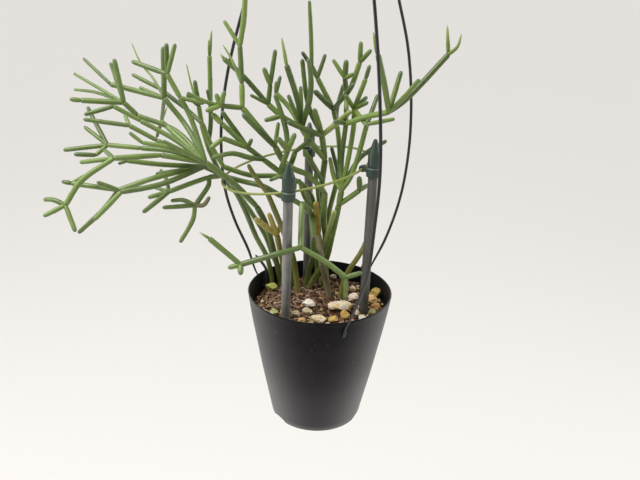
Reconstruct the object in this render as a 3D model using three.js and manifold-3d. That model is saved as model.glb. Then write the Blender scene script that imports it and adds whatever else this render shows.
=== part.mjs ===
// A rush cactus in a black hanging pot: jointed cylindrical stems that branch in whorls,
// three capped stakes with a wire ring that hold them up, and a three-legged wire hanger.
// Millimetres, +Z up. The origin is where the hanger's hook bears on whatever holds it.
import * as THREE from 'three';
import { mergeVertices } from 'three/addons/utils/BufferGeometryUtils.js';
import Module from 'manifold-3d';

const wasm = await Module();
wasm.setup();

// Driving dimensions. Heights are measured from the plane of the pot's rim.
const DROP = 395;                 // hook's bearing point above the rim
const POT_HEIGHT = 115.5;
const RIM_RADIUS = 60;
const FOOT_RADIUS = 38.6;
const WALL = 1.3;
const FLOOR_HEIGHT = 7;           // the floor's top above the foot
const FOOT_NOTCHES = 3;
const FIRST_NOTCH = -52;          // azimuth of the first arch in the foot
const NOTCH_RADIUS = 13.4;
const NOTCH_RISE = 3.2;           // the arches' height
const DRAIN_HOLES = 5;
const FIRST_DRAIN = -36;
const DRAIN_CIRCLE = 22;          // the drain holes' distance from the axis
const DRAIN_RADIUS = 4;
const HOLE_DEPTH = 13;            // the hanger's holes below the rim
const SOIL_LEVEL = -14;
const ROOT_DEPTH = 12;            // the stems' feet stand this far below the soil's surface
const STAKE_DEPTH = -75;
const STAKE_RADIUS = 3.7;
const CAP_RADIUS = 4.8;
const CAP_LENGTH = 29.3;           // from the stake's visible end to the cone's tip
const CAP_OVERLAP = 5;            // length of stake inside the cap
const BOSS_RADIUS = 3;            // the boss through which the ring passes
const RING_WIDE = 58.3;           // the oval ring's half width and half depth
const RING_DEEP = 45.7;
const RING_WIRE = 1.9;
const RING_RISE = 0.193;          // the ring rises by this much per mm toward the right
const RING_LEAN = 0.085;          // and by this much per mm toward the back
const HANGER_WIRE = 2.4;
const HOOK_WIRE = 3;
const HOOK_RADIUS = 11;
const COLLAR_LOW = 352;
const COLLAR_HIGH = 370;
const COLLAR_RADIUS = 6.2;
const LEG_SPREAD = 3.1;           // the wires stand this far from the collar's axis
const BOW_STEPS = 14;
const CLEAR = 0.3;                // gap left between neighbouring pieces
const SEED = 41;

// The eye for which the stems' places are laid out. A place is given by where it is
// seen on the upright plane through the pot's axis, and by how far it stands in front
// of that plane.
const EYE = new THREE.Vector3(0, -533, 263);

// Solids and meshes

function material(color, roughness, metalness = 0) {
  return new THREE.MeshStandardMaterial({ color, roughness, metalness });
}

function toSolid(geometry) {
  const bare = geometry.clone();
  for (const name of Object.keys(bare.attributes)) {
    if (name !== 'position') bare.deleteAttribute(name);
  }
  const merged = mergeVertices(bare, 1e-4);
  const { array } = merged.attributes.position;
  const corners = [];
  for (let i = 0; i < merged.index.count; i += 3) {
    const [a, b, c] = [0, 1, 2].map((step) => merged.index.getX(i + step));
    if (a !== b && b !== c && c !== a) corners.push(a, b, c);
  }
  return new wasm.Manifold(new wasm.Mesh({
    numProp: 3,
    vertProperties: new Float32Array(array),
    triVerts: new Uint32Array(corners),
  }));
}

function toGeometry(solid) {
  const mesh = solid.getMesh();
  const geometry = new THREE.BufferGeometry();
  geometry.setAttribute('position', new THREE.BufferAttribute(mesh.vertProperties, 3));
  geometry.setIndex(new THREE.BufferAttribute(mesh.triVerts, 1));
  return geometry;
}

function joined(solids) {
  return solids.reduce((whole, solid) => whole.add(solid));
}

// The largest closed piece of a cut solid: scraps are dropped.
function largest(solid) {
  return solid.decompose().reduce((big, piece) => (piece.volume() > big.volume() ? piece : big));
}

const part = new THREE.Group();
const hung = new THREE.Group();   // everything below is measured from the rim's plane
hung.position.z = -DROP;
part.add(hung);

function addMesh(name, solid, look) {
  const mesh = new THREE.Mesh(toGeometry(solid), look);
  mesh.name = name;
  hung.add(mesh);
}

// A seeded draw between 0 and 1.
let drawState = SEED;
function draw() {
  drawState = (drawState * 1664525 + 1013904223) % 4294967296;
  return drawState / 4294967296;
}

// A place at a radius from the pot's axis. Azimuth 0 is the front, 90 the right.
function around(radius, azimuth, z) {
  const turn = THREE.MathUtils.degToRad(azimuth);
  return new THREE.Vector3(radius * Math.sin(turn), -radius * Math.cos(turn), z);
}

function toPoints(profile) {
  return profile.map(([radius, z]) => new THREE.Vector2(radius, z));
}

// A body turned round the Z axis from a profile of [radius, height] pairs.
function turned(profile, sides) {
  return toSolid(new THREE.LatheGeometry(toPoints(profile), sides).rotateX(Math.PI / 2));
}

// A rod turned from a profile of [radius, height] pairs and set up from one place
// toward another.
function rod(profile, sides, from, toward) {
  const along = toward.clone().sub(from).normalize();
  const turn = new THREE.Quaternion().setFromUnitVectors(new THREE.Vector3(0, 1, 0), along);
  const geometry = new THREE.LatheGeometry(toPoints(profile), sides);
  geometry.applyQuaternion(turn);
  geometry.translate(from.x, from.y, from.z);
  return toSolid(geometry);
}

// A plain round bar from one place to another, for bores and bosses.
function bar(radius, sides, from, to) {
  const length = from.distanceTo(to);
  return rod([[0, 0], [radius, 0], [radius, length], [0, length]], sides, from, to);
}

// A round wire along a smooth curve through places.
function wire(places, diameter, steps, sides = 6) {
  const section = new THREE.Shape();
  for (let i = 0; i < sides; i += 1) {
    const turn = (i / sides) * 2 * Math.PI;
    const x = (diameter / 2) * Math.cos(turn);
    const y = (diameter / 2) * Math.sin(turn);
    if (i === 0) section.moveTo(x, y);
    else section.lineTo(x, y);
  }
  section.closePath();
  const extrudePath = new THREE.CatmullRomCurve3(places, false, 'centripetal');
  return toSolid(new THREE.ExtrudeGeometry(section, { steps, extrudePath }));
}

// Pot: a thin tapered shell with arches in its foot, a raised floor and drain holes

const POT_SIDES = 32;
const outerWall = [
  [FOOT_RADIUS, -POT_HEIGHT], [48, -70], [56.3, -25], [58.7, -10], [RIM_RADIUS, 0],
];
const floorTop = -POT_HEIGHT + FLOOR_HEIGHT;

function wallRadius(z) {
  const upper = outerWall.findIndex(([, height]) => z <= height);
  const [highRadius, high] = outerWall[Math.max(upper, 1)];
  const [lowRadius, low] = outerWall[Math.max(upper, 1) - 1];
  return lowRadius + ((highRadius - lowRadius) * (z - low)) / (high - low);
}

// Each leg of the hanger: where its hole is, how far its free end stands aside from its
// bow, where it enters the collar, and the bow's places from the rim up.
const legs = {
  front: { hole: 19.5, aside: 2, collar: 30, bow: [
    [33, -77, 48], [36, -77, 85], [37.5, -74, 125], [34.5, -66, 175], [28, -53, 232],
    [20, -37, 282], [11, -20, 326],
  ] },
  back: { hole: 137, aside: -2, collar: 130, bow: [
    [57, 56, 25], [68, 63, 62], [72.1, 63.5, 105], [70.2, 60, 149], [63.3, 52, 192],
    [52.3, 42, 229], [35.3, 28, 281], [17.2, 13, 328],
  ] },
  left: { hole: -119, aside: 3, collar: -103, bow: [
    [-62.8, 26, 22], [-74.3, 26, 49], [-81.8, 25.3, 76], [-84.2, 23.5, 112], [-82.6, 21.5, 141],
    [-76.3, 18, 178], [-62.7, 14.5, 227], [-43.5, 10, 281], [-20.8, 5, 330],
  ] },
};

function potSolid() {
  const floorLow = floorTop - WALL;
  const inside = [0, -25, -70].map((z) => [wallRadius(z) - WALL, z]);
  let pot = turned([
    [0, floorLow], [wallRadius(floorLow) - WALL, floorLow], [FOOT_RADIUS - WALL, -POT_HEIGHT],
    ...outerWall, ...inside, [wallRadius(floorTop) - WALL, floorTop], [0, floorTop],
  ], POT_SIDES);
  for (let i = 0; i < FOOT_NOTCHES; i += 1) {
    const azimuth = FIRST_NOTCH + (360 / FOOT_NOTCHES) * i;
    const centre = NOTCH_RISE - NOTCH_RADIUS - POT_HEIGHT;
    const [inner, outer] = [-6, 6].map((past) => around(FOOT_RADIUS + past, azimuth, centre));
    pot = pot.subtract(bar(NOTCH_RADIUS, 28, inner, outer));
  }
  for (let i = 0; i < DRAIN_HOLES; i += 1) {
    const azimuth = FIRST_DRAIN + (360 / DRAIN_HOLES) * i;
    const [low, high] = [-4, 4].map((rise) => around(DRAIN_CIRCLE, azimuth, floorTop + rise));
    pot = pot.subtract(bar(DRAIN_RADIUS, 8, low, high));
  }
  for (const { hole } of Object.values(legs)) {
    const wall = wallRadius(-HOLE_DEPTH);
    const [inner, outer] = [-6, 6].map((past) => around(wall + past, hole, -HOLE_DEPTH));
    pot = pot.subtract(bar(HANGER_WIRE / 2 + 3 * CLEAR, 8, inner, outer));
  }
  return pot;
}

addMesh('pot', potSolid(), material(0x262325, 0.45));

// Hanger: three bowed wires, each hooked through a hole in the wall, and a top hook

function bowPlaces({ hole, aside, collar, bow }, past = 0) {
  const outside = wallRadius(-HOLE_DEPTH) + HANGER_WIRE / 2 + 0.9;
  return [
    around(outside + 0.3, hole, 6 - HOLE_DEPTH),
    around(outside + 3.5, hole + aside, 3),
    ...bow.map((place) => new THREE.Vector3(...place)),
    around(LEG_SPREAD + 0.5, collar, COLLAR_LOW - 4),
    around(LEG_SPREAD, collar, COLLAR_LOW + 8 + past),
  ];
}

function hookedPlaces({ hole, aside }) {
  const wall = wallRadius(-HOLE_DEPTH);
  const outside = wall + HANGER_WIRE / 2 + 0.9;
  const inside = wall - WALL - HANGER_WIRE / 2 - 1.2;
  return [
    around(outside + 0.5, hole + aside / 4, 7.5 - HOLE_DEPTH),
    around(outside, hole, 2.6 - HOLE_DEPTH),
    around(outside - 2, hole, -HOLE_DEPTH),
    around(inside + 2, hole, -HOLE_DEPTH),
    around(inside, hole, 2.4 - HOLE_DEPTH),
    around(inside + 0.3, hole - aside / 2, -4),
    around(RIM_RADIUS - 3.6, hole - aside, 2.4),
    around(RIM_RADIUS + 8, hole - aside, 13),
  ];
}

function legSolid(leg) {
  return wire(bowPlaces(leg), HANGER_WIRE, BOW_STEPS).add(wire(hookedPlaces(leg), HANGER_WIRE, 12));
}

// The hook: a collar that grips the three wires, and a round wire bent over the top.
function hookSolid() {
  const collar = turned([
    [0, COLLAR_LOW], [COLLAR_RADIUS - 1, COLLAR_LOW], [COLLAR_RADIUS, COLLAR_LOW + 2],
    [COLLAR_RADIUS, COLLAR_HIGH - 4], [2.6, COLLAR_HIGH + 2], [0, COLLAR_HIGH + 2],
  ], 14);
  const centre = DROP - HOOK_RADIUS + HOOK_WIRE / 2;
  const bentWire = [-4, 3].map((rise) => new THREE.Vector3(0, 0, COLLAR_HIGH + rise));
  for (let degrees = -60; degrees <= 200; degrees += 26) {
    const turn = THREE.MathUtils.degToRad(degrees);
    const z = centre + HOOK_RADIUS * Math.sin(turn);
    bentWire.push(new THREE.Vector3(-HOOK_RADIUS * Math.cos(turn), 0, z));
  }
  let hook = collar.add(wire(bentWire, HOOK_WIRE, 22, 6));
  for (const leg of Object.values(legs)) {
    hook = hook.subtract(wire(bowPlaces(leg, 2 * CLEAR), HANGER_WIRE + 3 * CLEAR, BOW_STEPS));
  }
  return hook;
}

const blackWire = material(0x17161a, 0.35);
for (const [name, leg] of Object.entries(legs)) {
  addMesh(`hanger_leg_${name}`, legSolid(leg), blackWire);
}
addMesh('hanger_hook', hookSolid(), blackWire);

// Stakes: round rods pushed into the soil, each with a cone cap that clips the ring

// Each stake by its axis at the bottom and at its visible end, under the cap.
const stakes = {
  front: { low: [-27.2, -23.7, STAKE_DEPTH], high: [-25.7, -44, 93] },
  right: { low: [36.1, -15.6, STAKE_DEPTH], high: [37.1, -15.2, 104.3] },
  back: { low: [-11, 38, STAKE_DEPTH], high: [-13.8, 60.5, 97] },
};
const ringCentre = new THREE.Vector3(-22.9, 8.2, 101.2);

function stakeLine(stake) {
  const low = new THREE.Vector3(...stake.low);
  const high = new THREE.Vector3(...stake.high);
  return { low, high, along: high.clone().sub(low).normalize() };
}

function ringPlace(turn) {
  const x = RING_WIDE * Math.cos(turn);
  const y = RING_DEEP * Math.sin(turn);
  return new THREE.Vector3(x, y, x * RING_RISE + y * RING_LEAN).add(ringCentre);
}

// Where a clip holds the ring: from the cap's axis to just past the ring's nearest place.
function clipPlaces({ high, along }) {
  const degrees = Array.from({ length: 360 }, (_, degree) => degree);
  const places = degrees.map((degree) => ringPlace(THREE.MathUtils.degToRad(degree)));
  const gaps = places.map((spot) => spot.distanceTo(high));
  const onRing = places[gaps.indexOf(Math.min(...gaps))];
  const onAxis = high.clone().addScaledVector(along, (onRing.z - high.z) / along.z);
  const outward = onRing.clone().sub(onAxis).normalize();
  return [onAxis, onRing.clone().addScaledVector(outward, RING_WIRE / 2 + 1.3)];
}

function ringSolid(diameter) {
  const turns = Array.from({ length: 24 }, (_, i) => (i / 24) * 2 * Math.PI);
  const path = new THREE.CatmullRomCurve3(turns.map(ringPlace), true, 'centripetal');
  return toSolid(new THREE.TubeGeometry(path, 28, diameter / 2, 6, true));
}

function stakeSolid({ low, high }) {
  const length = low.distanceTo(high) + CAP_OVERLAP;
  const profile = [[0, 0], [2, 0], [STAKE_RADIUS, 5], [STAKE_RADIUS, length], [0, length]];
  return rod(profile, 12, low, high);
}

// The cap: a sleeve with a thicker mouth and a groove, closed by a cone, and a boss on
// the side toward the ring, which passes through it.
function capSolid({ low, high, along }) {
  const tip = high.clone().addScaledVector(along, CAP_LENGTH);
  const sleeve = rod([
    [0, 0], [CAP_RADIUS + 0.6, 0], [CAP_RADIUS + 0.6, 7], [CAP_RADIUS - 0.3, 7.8],
    [CAP_RADIUS, 9], [CAP_RADIUS, 18.6], [1.4, CAP_LENGTH - 1], [0, CAP_LENGTH],
  ], 12, high, tip);
  const bore = high.clone().addScaledVector(along, CAP_OVERLAP + CLEAR);
  return sleeve.add(bar(BOSS_RADIUS, 10, ...clipPlaces({ high, along })))
    .subtract(bar(STAKE_RADIUS + CLEAR, 12, low, bore))
    .subtract(ringSolid(RING_WIRE + 2 * CLEAR + 0.2));
}

const stakeLook = material(0x7d8079, 0.55);
const capLook = material(0x24443a, 0.5);
for (const [name, stake] of Object.entries(stakes)) {
  const line = stakeLine(stake);
  addMesh(`stake_${name}`, stakeSolid(line), stakeLook);
  addMesh(`stake_cap_${name}`, largest(capSolid(line)), capLook);
}
addMesh('support_ring', ringSolid(RING_WIRE), material(0x9a9a4a, 0.5));

// Stems: each is a tree of joints with an internode from joint to joint

const STEM_SIDES = 5;
const STEM_CLEAR = 0.8;          // gap that stems keep to each other
const PINCH = 0.68;              // a joint's width as a share of the internode's
const SHORT = 13;                 // a shorter internode, in radii, has one ring less
const BEND_SWEEPS = 160;

function seen(x, z, near) {
  return new THREE.Vector3(x, 0, z).lerp(EYE, near / -EYE.y);
}

// A stem is a list of places from its foot on, in which each place follows the one
// before it and a nested list is a side branch. Kinds of place: a foot in the soil, a
// joint, a bend in an internode, a blunt tip, and a pointed new shoot.
function place(kind, x, z, near, width) {
  return { kind, x, z, near, width, kids: [] };
}
function foot(x, y, width) {
  const share = y / EYE.y;
  const inSoil = new THREE.Vector3(x, y, SOIL_LEVEL - ROOT_DEPTH);
  const onPlane = inSoil.sub(EYE).divideScalar(1 - share).add(EYE);
  return place('foot', onPlane.x, onPlane.z, -y, width);
}
const j = (...numbers) => place('joint', ...numbers);
const bend = (...numbers) => place('bend', ...numbers);
const tip = (...numbers) => place('tip', ...numbers);
const shoot = (...numbers) => place('shoot', ...numbers);

const trees = {
  stem_left_main: [foot(-31.5, 31, 5), bend(-39, 33, -24, 5), bend(-46, 57, -14, 5), j(-53, 71, -8, 5),
    bend(-73, 91, 4, 5), j(-93, 106, 10, 4.8),
    [bend(-119, 114, 6, 4), j(-143, 115.5, 2, 4), j(-169, 117, -4, 3.8), tip(-204, 111.5, -2, 3.9),
      tip(-186, 131, -14, 3.4),
      [bend(-179, 139, -22, 3.6), tip(-182, 146.5, -26, 3.4)],
      [j(-179, 108.5, 2, 3.6), tip(-196, 108.5, 6, 3.7)]],
    [j(-128, 110.5, 18, 4.2), j(-165, 106.5, 28, 4.2),
      [bend(-192, 87, 36, 4.2), j(-207, 66, 42, 4.2),
        [bend(-216, 70, 40, 3.9), tip(-224, 70, 36, 3.9)],
        tip(-226, 55.5, 50, 3.8), tip(-201, 43, 52, 3.8)],
      tip(-192, 102, 24, 3.6), tip(-172, 113, 16, 3.4)],
    [bend(-110, 113, 14, 4), j(-130, 122, 14, 3.8), j(-151, 133, 14, 3.6),
      tip(-186, 136.5, 18, 3.5), tip(-154, 141.5, 6, 3)],
    [bend(-116, 123, 0, 3.9), j(-142, 137, -4, 3.8), j(-162, 147.5, -4, 3.6),
      tip(-185, 140, 2, 3.6)],
    [bend(-115, 130, -10, 4), j(-144, 141, -14, 3.9), j(-154, 150.5, -14, 4),
      [j(-186.5, 151, -8, 4.4), tip(-195, 151.5, -6, 3.8)],
      tip(-190, 171, -36, 2.7), tip(-159, 183, -18, 4.3), tip(-162, 180, -28, 3),
      [bend(-175, 157.5, -34, 2.7), tip(-191, 159, -42, 2.6)]],
    [bend(-107, 134, -20, 4.2), j(-123, 155, -28, 4.4),
      [j(-163, 164, -34, 4.2), tip(-182, 182.5, -46, 2.8)],
      [j(-125.8, 137.9, -46, 3.2), tip(-130.4, 124.4, -50, 3), shoot(-120.8, 149.2, -52, 2)],
      tip(-141.5, 162.7, -36, 3), tip(-122, 193, -30, 4.4),
      [bend(-131, 170, -48, 2.4), bend(-139.5, 181, -54, 2.4), shoot(-145.5, 195.5, -60, 2)]],
    [bend(-104, 142, -4, 4), j(-111, 156, -6, 4),
      [j(-120, 173, -10, 4), tip(-119.5, 195.5, -10, 4), tip(-113, 195.5, -6, 3.8),
        tip(-146, 181.5, -20, 4)],
      tip(-93, 152, -8, 3.3)],
    [bend(-120, 116.5, 26, 3.6), j(-142, 120, 30, 3.2), tip(-151.6, 127.7, 30, 3)],
    tip(-126, 122, 34, 3.4), tip(-126.9, 137.8, -16, 4.6)],

  stem_left_lower: [foot(-40, 33, 4.6), bend(-44.6, 27, -28, 4.4), bend(-53.5, 45, -22, 4.4),
    bend(-63, 69, -16, 4.4), bend(-70, 83.2, -16, 4.4), bend(-77, 94.3, -10, 4.4),
    j(-94, 102.6, 0, 4.4),
    [bend(-129, 103, 12, 4), j(-155, 105, 18, 3.8), tip(-162, 102, 22, 3)],
    [bend(-130, 93, 20, 4.2), j(-163, 80.5, 30, 4.2),
      [j(-200, 84.5, 26, 4), tip(-208, 86, 26, 3.6), tip(-184, 94, 14, 3.4)],
      tip(-180, 86.5, 38, 3.4),
      [bend(-177, 63, 30, 4), tip(-199, 42, 32, 4)]],
    [bend(-131, 86, 34, 4.2), j(-161, 79, 44, 4.2), tip(-185, 54, 54, 4)],
    tip(-133, 95, 4, 3.4)],

  stem_low_spray: [foot(-15.1, 33.8, 4.6), bend(-9.8, 16, -28, 4.6), bend(-7, 28, -20, 4.6),
    j(-6.8, 45, -12, 4.6),
    j(-9, 67, -6, 4.6),
    [bend(-22.5, 77, -8, 4.4), bend(-34, 81, -8, 4.4), bend(-47.5, 88, -10, 4.4),
      bend(-63, 91.5, -14, 4.2), j(-81, 95.6, -8, 4.2), j(-91, 94, -4, 4.2),
      [bend(-106, 88, 0, 4), j(-123, 80.7, 4, 4), tip(-140, 75, 2, 3.8), tip(-145, 62, 14, 4),
        [bend(-125, 92, -6, 3.4), tip(-129, 99, -12, 3.2)],
        tip(-135, 84, -6, 3.2)],
      [bend(-91, 88, 0, 4), bend(-97, 78, 4, 4), j(-102.5, 70, 8, 4),
        [bend(-112, 74, 4, 3.6), tip(-122, 73, 2, 3.6)],
        tip(-129, 67, 16, 3.8),
        [bend(-95.6, 70.6, 10, 3.6), tip(-90.5, 78, 10, 3.6)],
        [bend(-104.6, 58, 12, 3.8), tip(-116, 37, 20, 3.8)]]],
    [j(-17, 75, 20, 4.6), bend(-17, 55, 30, 4.6), j(-17, 37, 42, 4.6),
      [bend(-40, 29, 50, 4.4), j(-66.5, 19.5, 52, 4.4),
        [j(-92, 42, 50, 4.2), shoot(-100, 47, 50, 2.4)],
        tip(-77, 16, 54, 4), tip(-66.4, 9.8, 58, 4.6)],
      [bend(5, 24, 38, 4.4), j(21, 11.5, 36, 4.4), tip(34.5, 16.5, 33, 4), tip(22, -8.6, 36, 4),
        tip(15.5, 13, 36, 4)]]],

  stem_left_back: [foot(-26, 41, 4.2), bend(-38, 24, -38, 4.2), bend(-47, 48, -36, 4.2),
    bend(-63, 74, -34, 4.2),
    bend(-80, 95, -32, 4.2), j(-91, 118, -32, 4),
    [bend(-95, 135, -34, 4), j(-97, 150, -36, 3.8), tip(-99.6, 169.5, -38, 3.8),
      tip(-106, 158.4, -30, 3.4),
      [bend(-102, 165, -44, 2.2), shoot(-105.4, 181.5, -48, 2)]],
    [bend(-88.5, 135, -36, 3.8), j(-88, 153, -40, 3.8),
      [j(-88, 187.5, -46, 3.8), shoot(-86, 206, -48, 3), shoot(-88.5, 199, -42, 2.6)],
      tip(-90.3, 162.8, -34, 3.4)]],

  stem_arching: [foot(-2.5, 44, 4.4), bend(-4, 45, -28, 4.4), bend(-6, 70, -28, 4.4),
    [bend(-14.7, 80, -16, 3.6), tip(-19.8, 95.2, -6, 3.4)],
    bend(-12, 86, -28, 4.2), bend(-20, 93, -28, 4.2), bend(-35, 97, -27, 4.2),
    [bend(-58, 97, -20, 4.2), j(-79, 103, -18, 4.2), bend(-88, 119, -18, 4), j(-95, 137, -20, 4),
      j(-107.5, 148, -34, 3.8), j(-126, 162, -44, 3.6), tip(-146.5, 172, -52, 3.6)],
    tip(-42.5, 93.5, -10, 3.4)],

  stem_upper_left: [foot(2, 32.5, 5), bend(3, 42, -15, 5), bend(1, 63, -8, 5), j(1, 85, -4, 5),
    bend(-13, 99, -2, 4.6), bend(-24.4, 103.6, -2, 4.6), bend(-32, 109.4, -4, 4.8),
    j(-39, 121, -2, 4.8),
    [bend(-48, 131, 2, 4.8), j(-64, 150, 6, 4.6),
      [j(-64.3, 168, 2, 4),
        [j(-65.5, 195.5, -4, 3.9), tip(-77, 213, -8, 3.3),
          [bend(-62.5, 215, -4, 4.2), tip(-61, 238, -2, 4.2)]],
        [bend(-72, 186, -6, 2.8), shoot(-78, 196, -8, 2.4)]],
      [j(-80.5, 151, 12, 4), tip(-84, 160, 14, 4), tip(-77.3, 162, 18, 3.8),
        tip(-92, 146.5, 20, 3.8),
        [bend(-93, 154, 14, 3.2), tip(-106, 160, 16, 3)]]],
    tip(-64, 145.5, 18, 4.6), tip(-36.5, 140, -8, 3.4)],

  stem_mid_left: [foot(-21.5, 33, 4.4), bend(-29, 35, -26, 4.4), bend(-28, 66, -20, 4.4),
    bend(-24, 93, -16, 4.4), j(-35, 100.5, -10, 4.4),
    [j(-47.7, 110, 0, 4.4),
      [j(-60, 119, 8, 4.2), tip(-80, 147, 2, 4),
        [j(-79.8, 137.3, 14, 4), tip(-87.5, 145, 14, 4.4)],
        [j(-78.8, 125.7, 22, 4), tip(-90, 117, 28, 3.6)],
        tip(-57, 126, 14, 3.2)],
      [bend(-60, 111.5, 16, 4), bend(-72, 114, 22, 4), tip(-88, 110, 28, 3.8)]],
    [bend(-27.5, 106, -4, 4.4), j(-23.2, 117.4, -4, 4.2), tip(-10, 128.8, 2, 3.6)],
    [j(-29, 118, 12, 4.2), [bend(-30.5, 133, 10, 4.2), bend(-35, 148.7, 10, 4), tip(-39.7, 161.3, 8, 3.6)],
       tip(-23.6, 132, 16, 4.2), tip(-37, 128, 22, 4.4)]],

  stem_olive_left: [foot(-17.5, 16, 5), bend(-21, 16, -14, 5), bend(-24, 30.5, -10, 5),
    bend(-34, 57, -6, 4.4),
    j(-44.5, 82.5, -2, 4.2), bend(-55, 97, -2, 4), tip(-60, 106, -2, 3.8)],

  stem_ochre: [foot(-27, 26, 4.4), bend(-32, 24, -20, 4.4), j(-36.5, 47, -10, 5), tip(-54.8, 61, -2, 5),
    tip(-43.5, 66, -8, 4.6), tip(-33, 60, -16, 3.6)],

  stem_centre: [foot(11.5, 8.5, 5.6), bend(4.6, 9, -10, 5.6), bend(0.2, 27, -12, 5.6), j(-3, 49, -12, 5.6),
    tip(-6, 77, 4, 5.2),
    [bend(-3, 72, -18, 5),
      [bend(-4.5, 84, -12, 3.4), tip(-7.1, 101.4, -8, 3.4)],
      bend(-1.5, 95, -20, 5), tip(-16.4, 118.9, 6, 4.4), j(0, 112, -18, 5),
      [j(-3, 131, -12, 5),
        [bend(8, 141, -4, 4.6), tip(18, 150.5, 6, 4.4)],
        [bend(-12.6, 149.5, -16, 4), bend(-15.6, 160, -18, 4), tip(-19.7, 188, -20, 4)],
        [bend(-9, 132.8, 2, 4.6), tip(-30, 140.7, 12, 4.2)],
        tip(-9.7, 151.5, -2, 4.6)],
      [bend(-10, 124, -6, 4.8), j(-18.7, 136, -6, 4.8),
        [j(-34.6, 144.7, -6, 4.4),
          [j(-44.5, 153.5, -6, 4.4),
            [bend(-62.6, 173, -8, 4), j(-77.5, 186, -12, 3.8), shoot(-80.5, 190, -14, 2.2)],
            [j(-43, 168, -2, 3.8), tip(-48, 180.5, 2, 4), tip(-39.4, 194, -4, 3.6)],
            tip(-58, 160, 6, 2.8)],
          tip(-47, 141, 8, 4)],
        [bend(-22, 156, -2, 4.4), j(-31, 183, 0, 4.4), shoot(-35, 203, -2, 3)],
        [bend(-13.1, 160, 8, 4.4), bend(-12.6, 172, 10, 4.2), tip(-15, 188.5, 12, 3.6)],
        tip(-29.5, 161, 12, 3.4), tip(-20.3, 168, -14, 3.6),
        [bend(-28, 151, -16, 4), j(-38.5, 162, -20, 4), tip(-38.3, 171, -20, 3.8),
          tip(-35.5, 175, -26, 3.2)]]]],

  stem_tall: [foot(6.5, 41, 4.2), bend(4, 60, -30, 4.2), bend(10, 95, -26, 4.2), bend(11.5, 112, -24, 4),
    bend(9, 135, -22, 4), [bend(7.5, 150, -30, 3.6), tip(11.8, 170.7, -36, 3.6)], j(5, 151.5, -22, 4),
    [bend(15.7, 166, 2, 3.8), tip(19.5, 171.8, 4, 3.6)],
    [j(-8, 174.5, -24, 4),
      [j(-12.4, 183, -24, 3.8),
        [bend(-13.6, 205, -26, 3.4), tip(-15.5, 229, -28, 3.1)],
        tip(-20, 193, -16, 3.3)],
      tip(-2.5, 192, -30, 3.3)],
    tip(-10, 165, -8, 4.6)],

  stem_right: [foot(-13, 27, 4.6), bend(-6.9, 6.5, -24, 4.6), bend(-0.9, 18, -22, 4.6),
    [bend(2, 28, -12, 4.4), bend(4.4, 48, 2, 4.4), tip(9.5, 70.3, 8, 4.2)],
    bend(3.8, 26.5, -20, 5), bend(8.5, 50, -6, 5),
    j(12.5, 75, 0, 5),
    [j(28.5, 88, 4, 4.2), tip(27.5, 99.5, 6, 4.6), tip(35, 93, -4, 3.6)],
    [j(14, 87, 2, 5),
      [bend(8.4, 96.2, -4, 3.8), tip(3.6, 114.1, -8, 3.6)],
      [bend(10.5, 102.4, -14, 3.8), tip(4.6, 122.3, -18, 3.6)],
      [bend(18, 112, 2, 4), bend(21, 140, -2, 3.9), j(20.5, 152.5, -2, 3.9),
        tip(30, 162, -12, 3.6), tip(31, 158, 4, 3.6),
        [j(28, 175, -4, 3.8), tip(30.5, 185.5, -6, 3.4)],
        tip(13.4, 162.7, 8, 3.6), tip(31.1, 139.8, 24, 3.8)],
      [bend(20, 97, 8, 4), bend(25, 113, 10, 3.9), j(31, 141, 8, 3.8), tip(52, 146, 6, 3.4),
        tip(38, 164, -6, 3.6)],
      [bend(27, 114, -8, 3.8), tip(47, 129, -14, 3.6)],
      [bend(13, 112, -8, 4), j(15, 141, -12, 3.9),
        tip(6.1, 142.2, 0, 3.8),
        [bend(19, 142.3, 14, 4.2), bend(28, 146, 18, 4.2), j(47, 151, 34, 4.2),
          [bend(42, 172, 46, 4.2), j(36, 193, 58, 4), shoot(31.5, 209, 64, 3.4)],
          tip(54, 182, 24, 3.8),
          [bend(59, 161, 34, 4.2), j(87.5, 195, 26, 4), shoot(84.5, 216, 22, 3),
            [bend(93.6, 201, 32, 2.8), shoot(95.5, 210.5, 34, 2.6)]],
          [bend(57, 162, 42, 3.4), tip(68, 176.5, 46, 3.4)]],
        j(14.5, 163, -16, 3.9),
        [j(12.5, 175, -16, 4), tip(3, 188.5, -22, 3.4), tip(13, 188.5, -14, 4.4),
          tip(19, 178.5, -8, 3.4)],
        [bend(18, 170, -22, 4.2), j(23, 187, -24, 4.2), tip(23, 202, -26, 3.8),
          tip(31, 196.5, -20, 3.8)]]]],

  stem_olive_right: [foot(17, 10, 4.4), bend(20, 10, -8, 4.4), bend(33, 36, -4, 4.4),
    bend(40, 58, -6, 4.2), tip(43, 79, -6, 4.6)],
};

// Hang each place on the one that it grows from.
function grow(list, parent = null) {
  let last = parent;
  for (const item of list) {
    if (Array.isArray(item)) {
      grow(item, last);
    } else {
      if (last) last.kids.push(item);
      if (item.kind !== 'tip' && item.kind !== 'shoot') last = item;
    }
  }
  return list[0];
}

function stretches(name, from) {
  return from.kids.flatMap((to) => [{ name, from, to, radius: to.width / 2 }, ...stretches(name, to)]);
}

function spotOf({ spot, x, z, near }) {
  return spot || seen(x, z, near);
}

// What the stems keep clear of and what doesn't move for them.
function fixedStretch(from, to, radius) {
  const [start, end] = [from, to].map((spot) => ({ kind: 'foot', spot, near: -spot.y }));
  return { name: 'fixed', from: start, to: end, radius };
}

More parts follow.
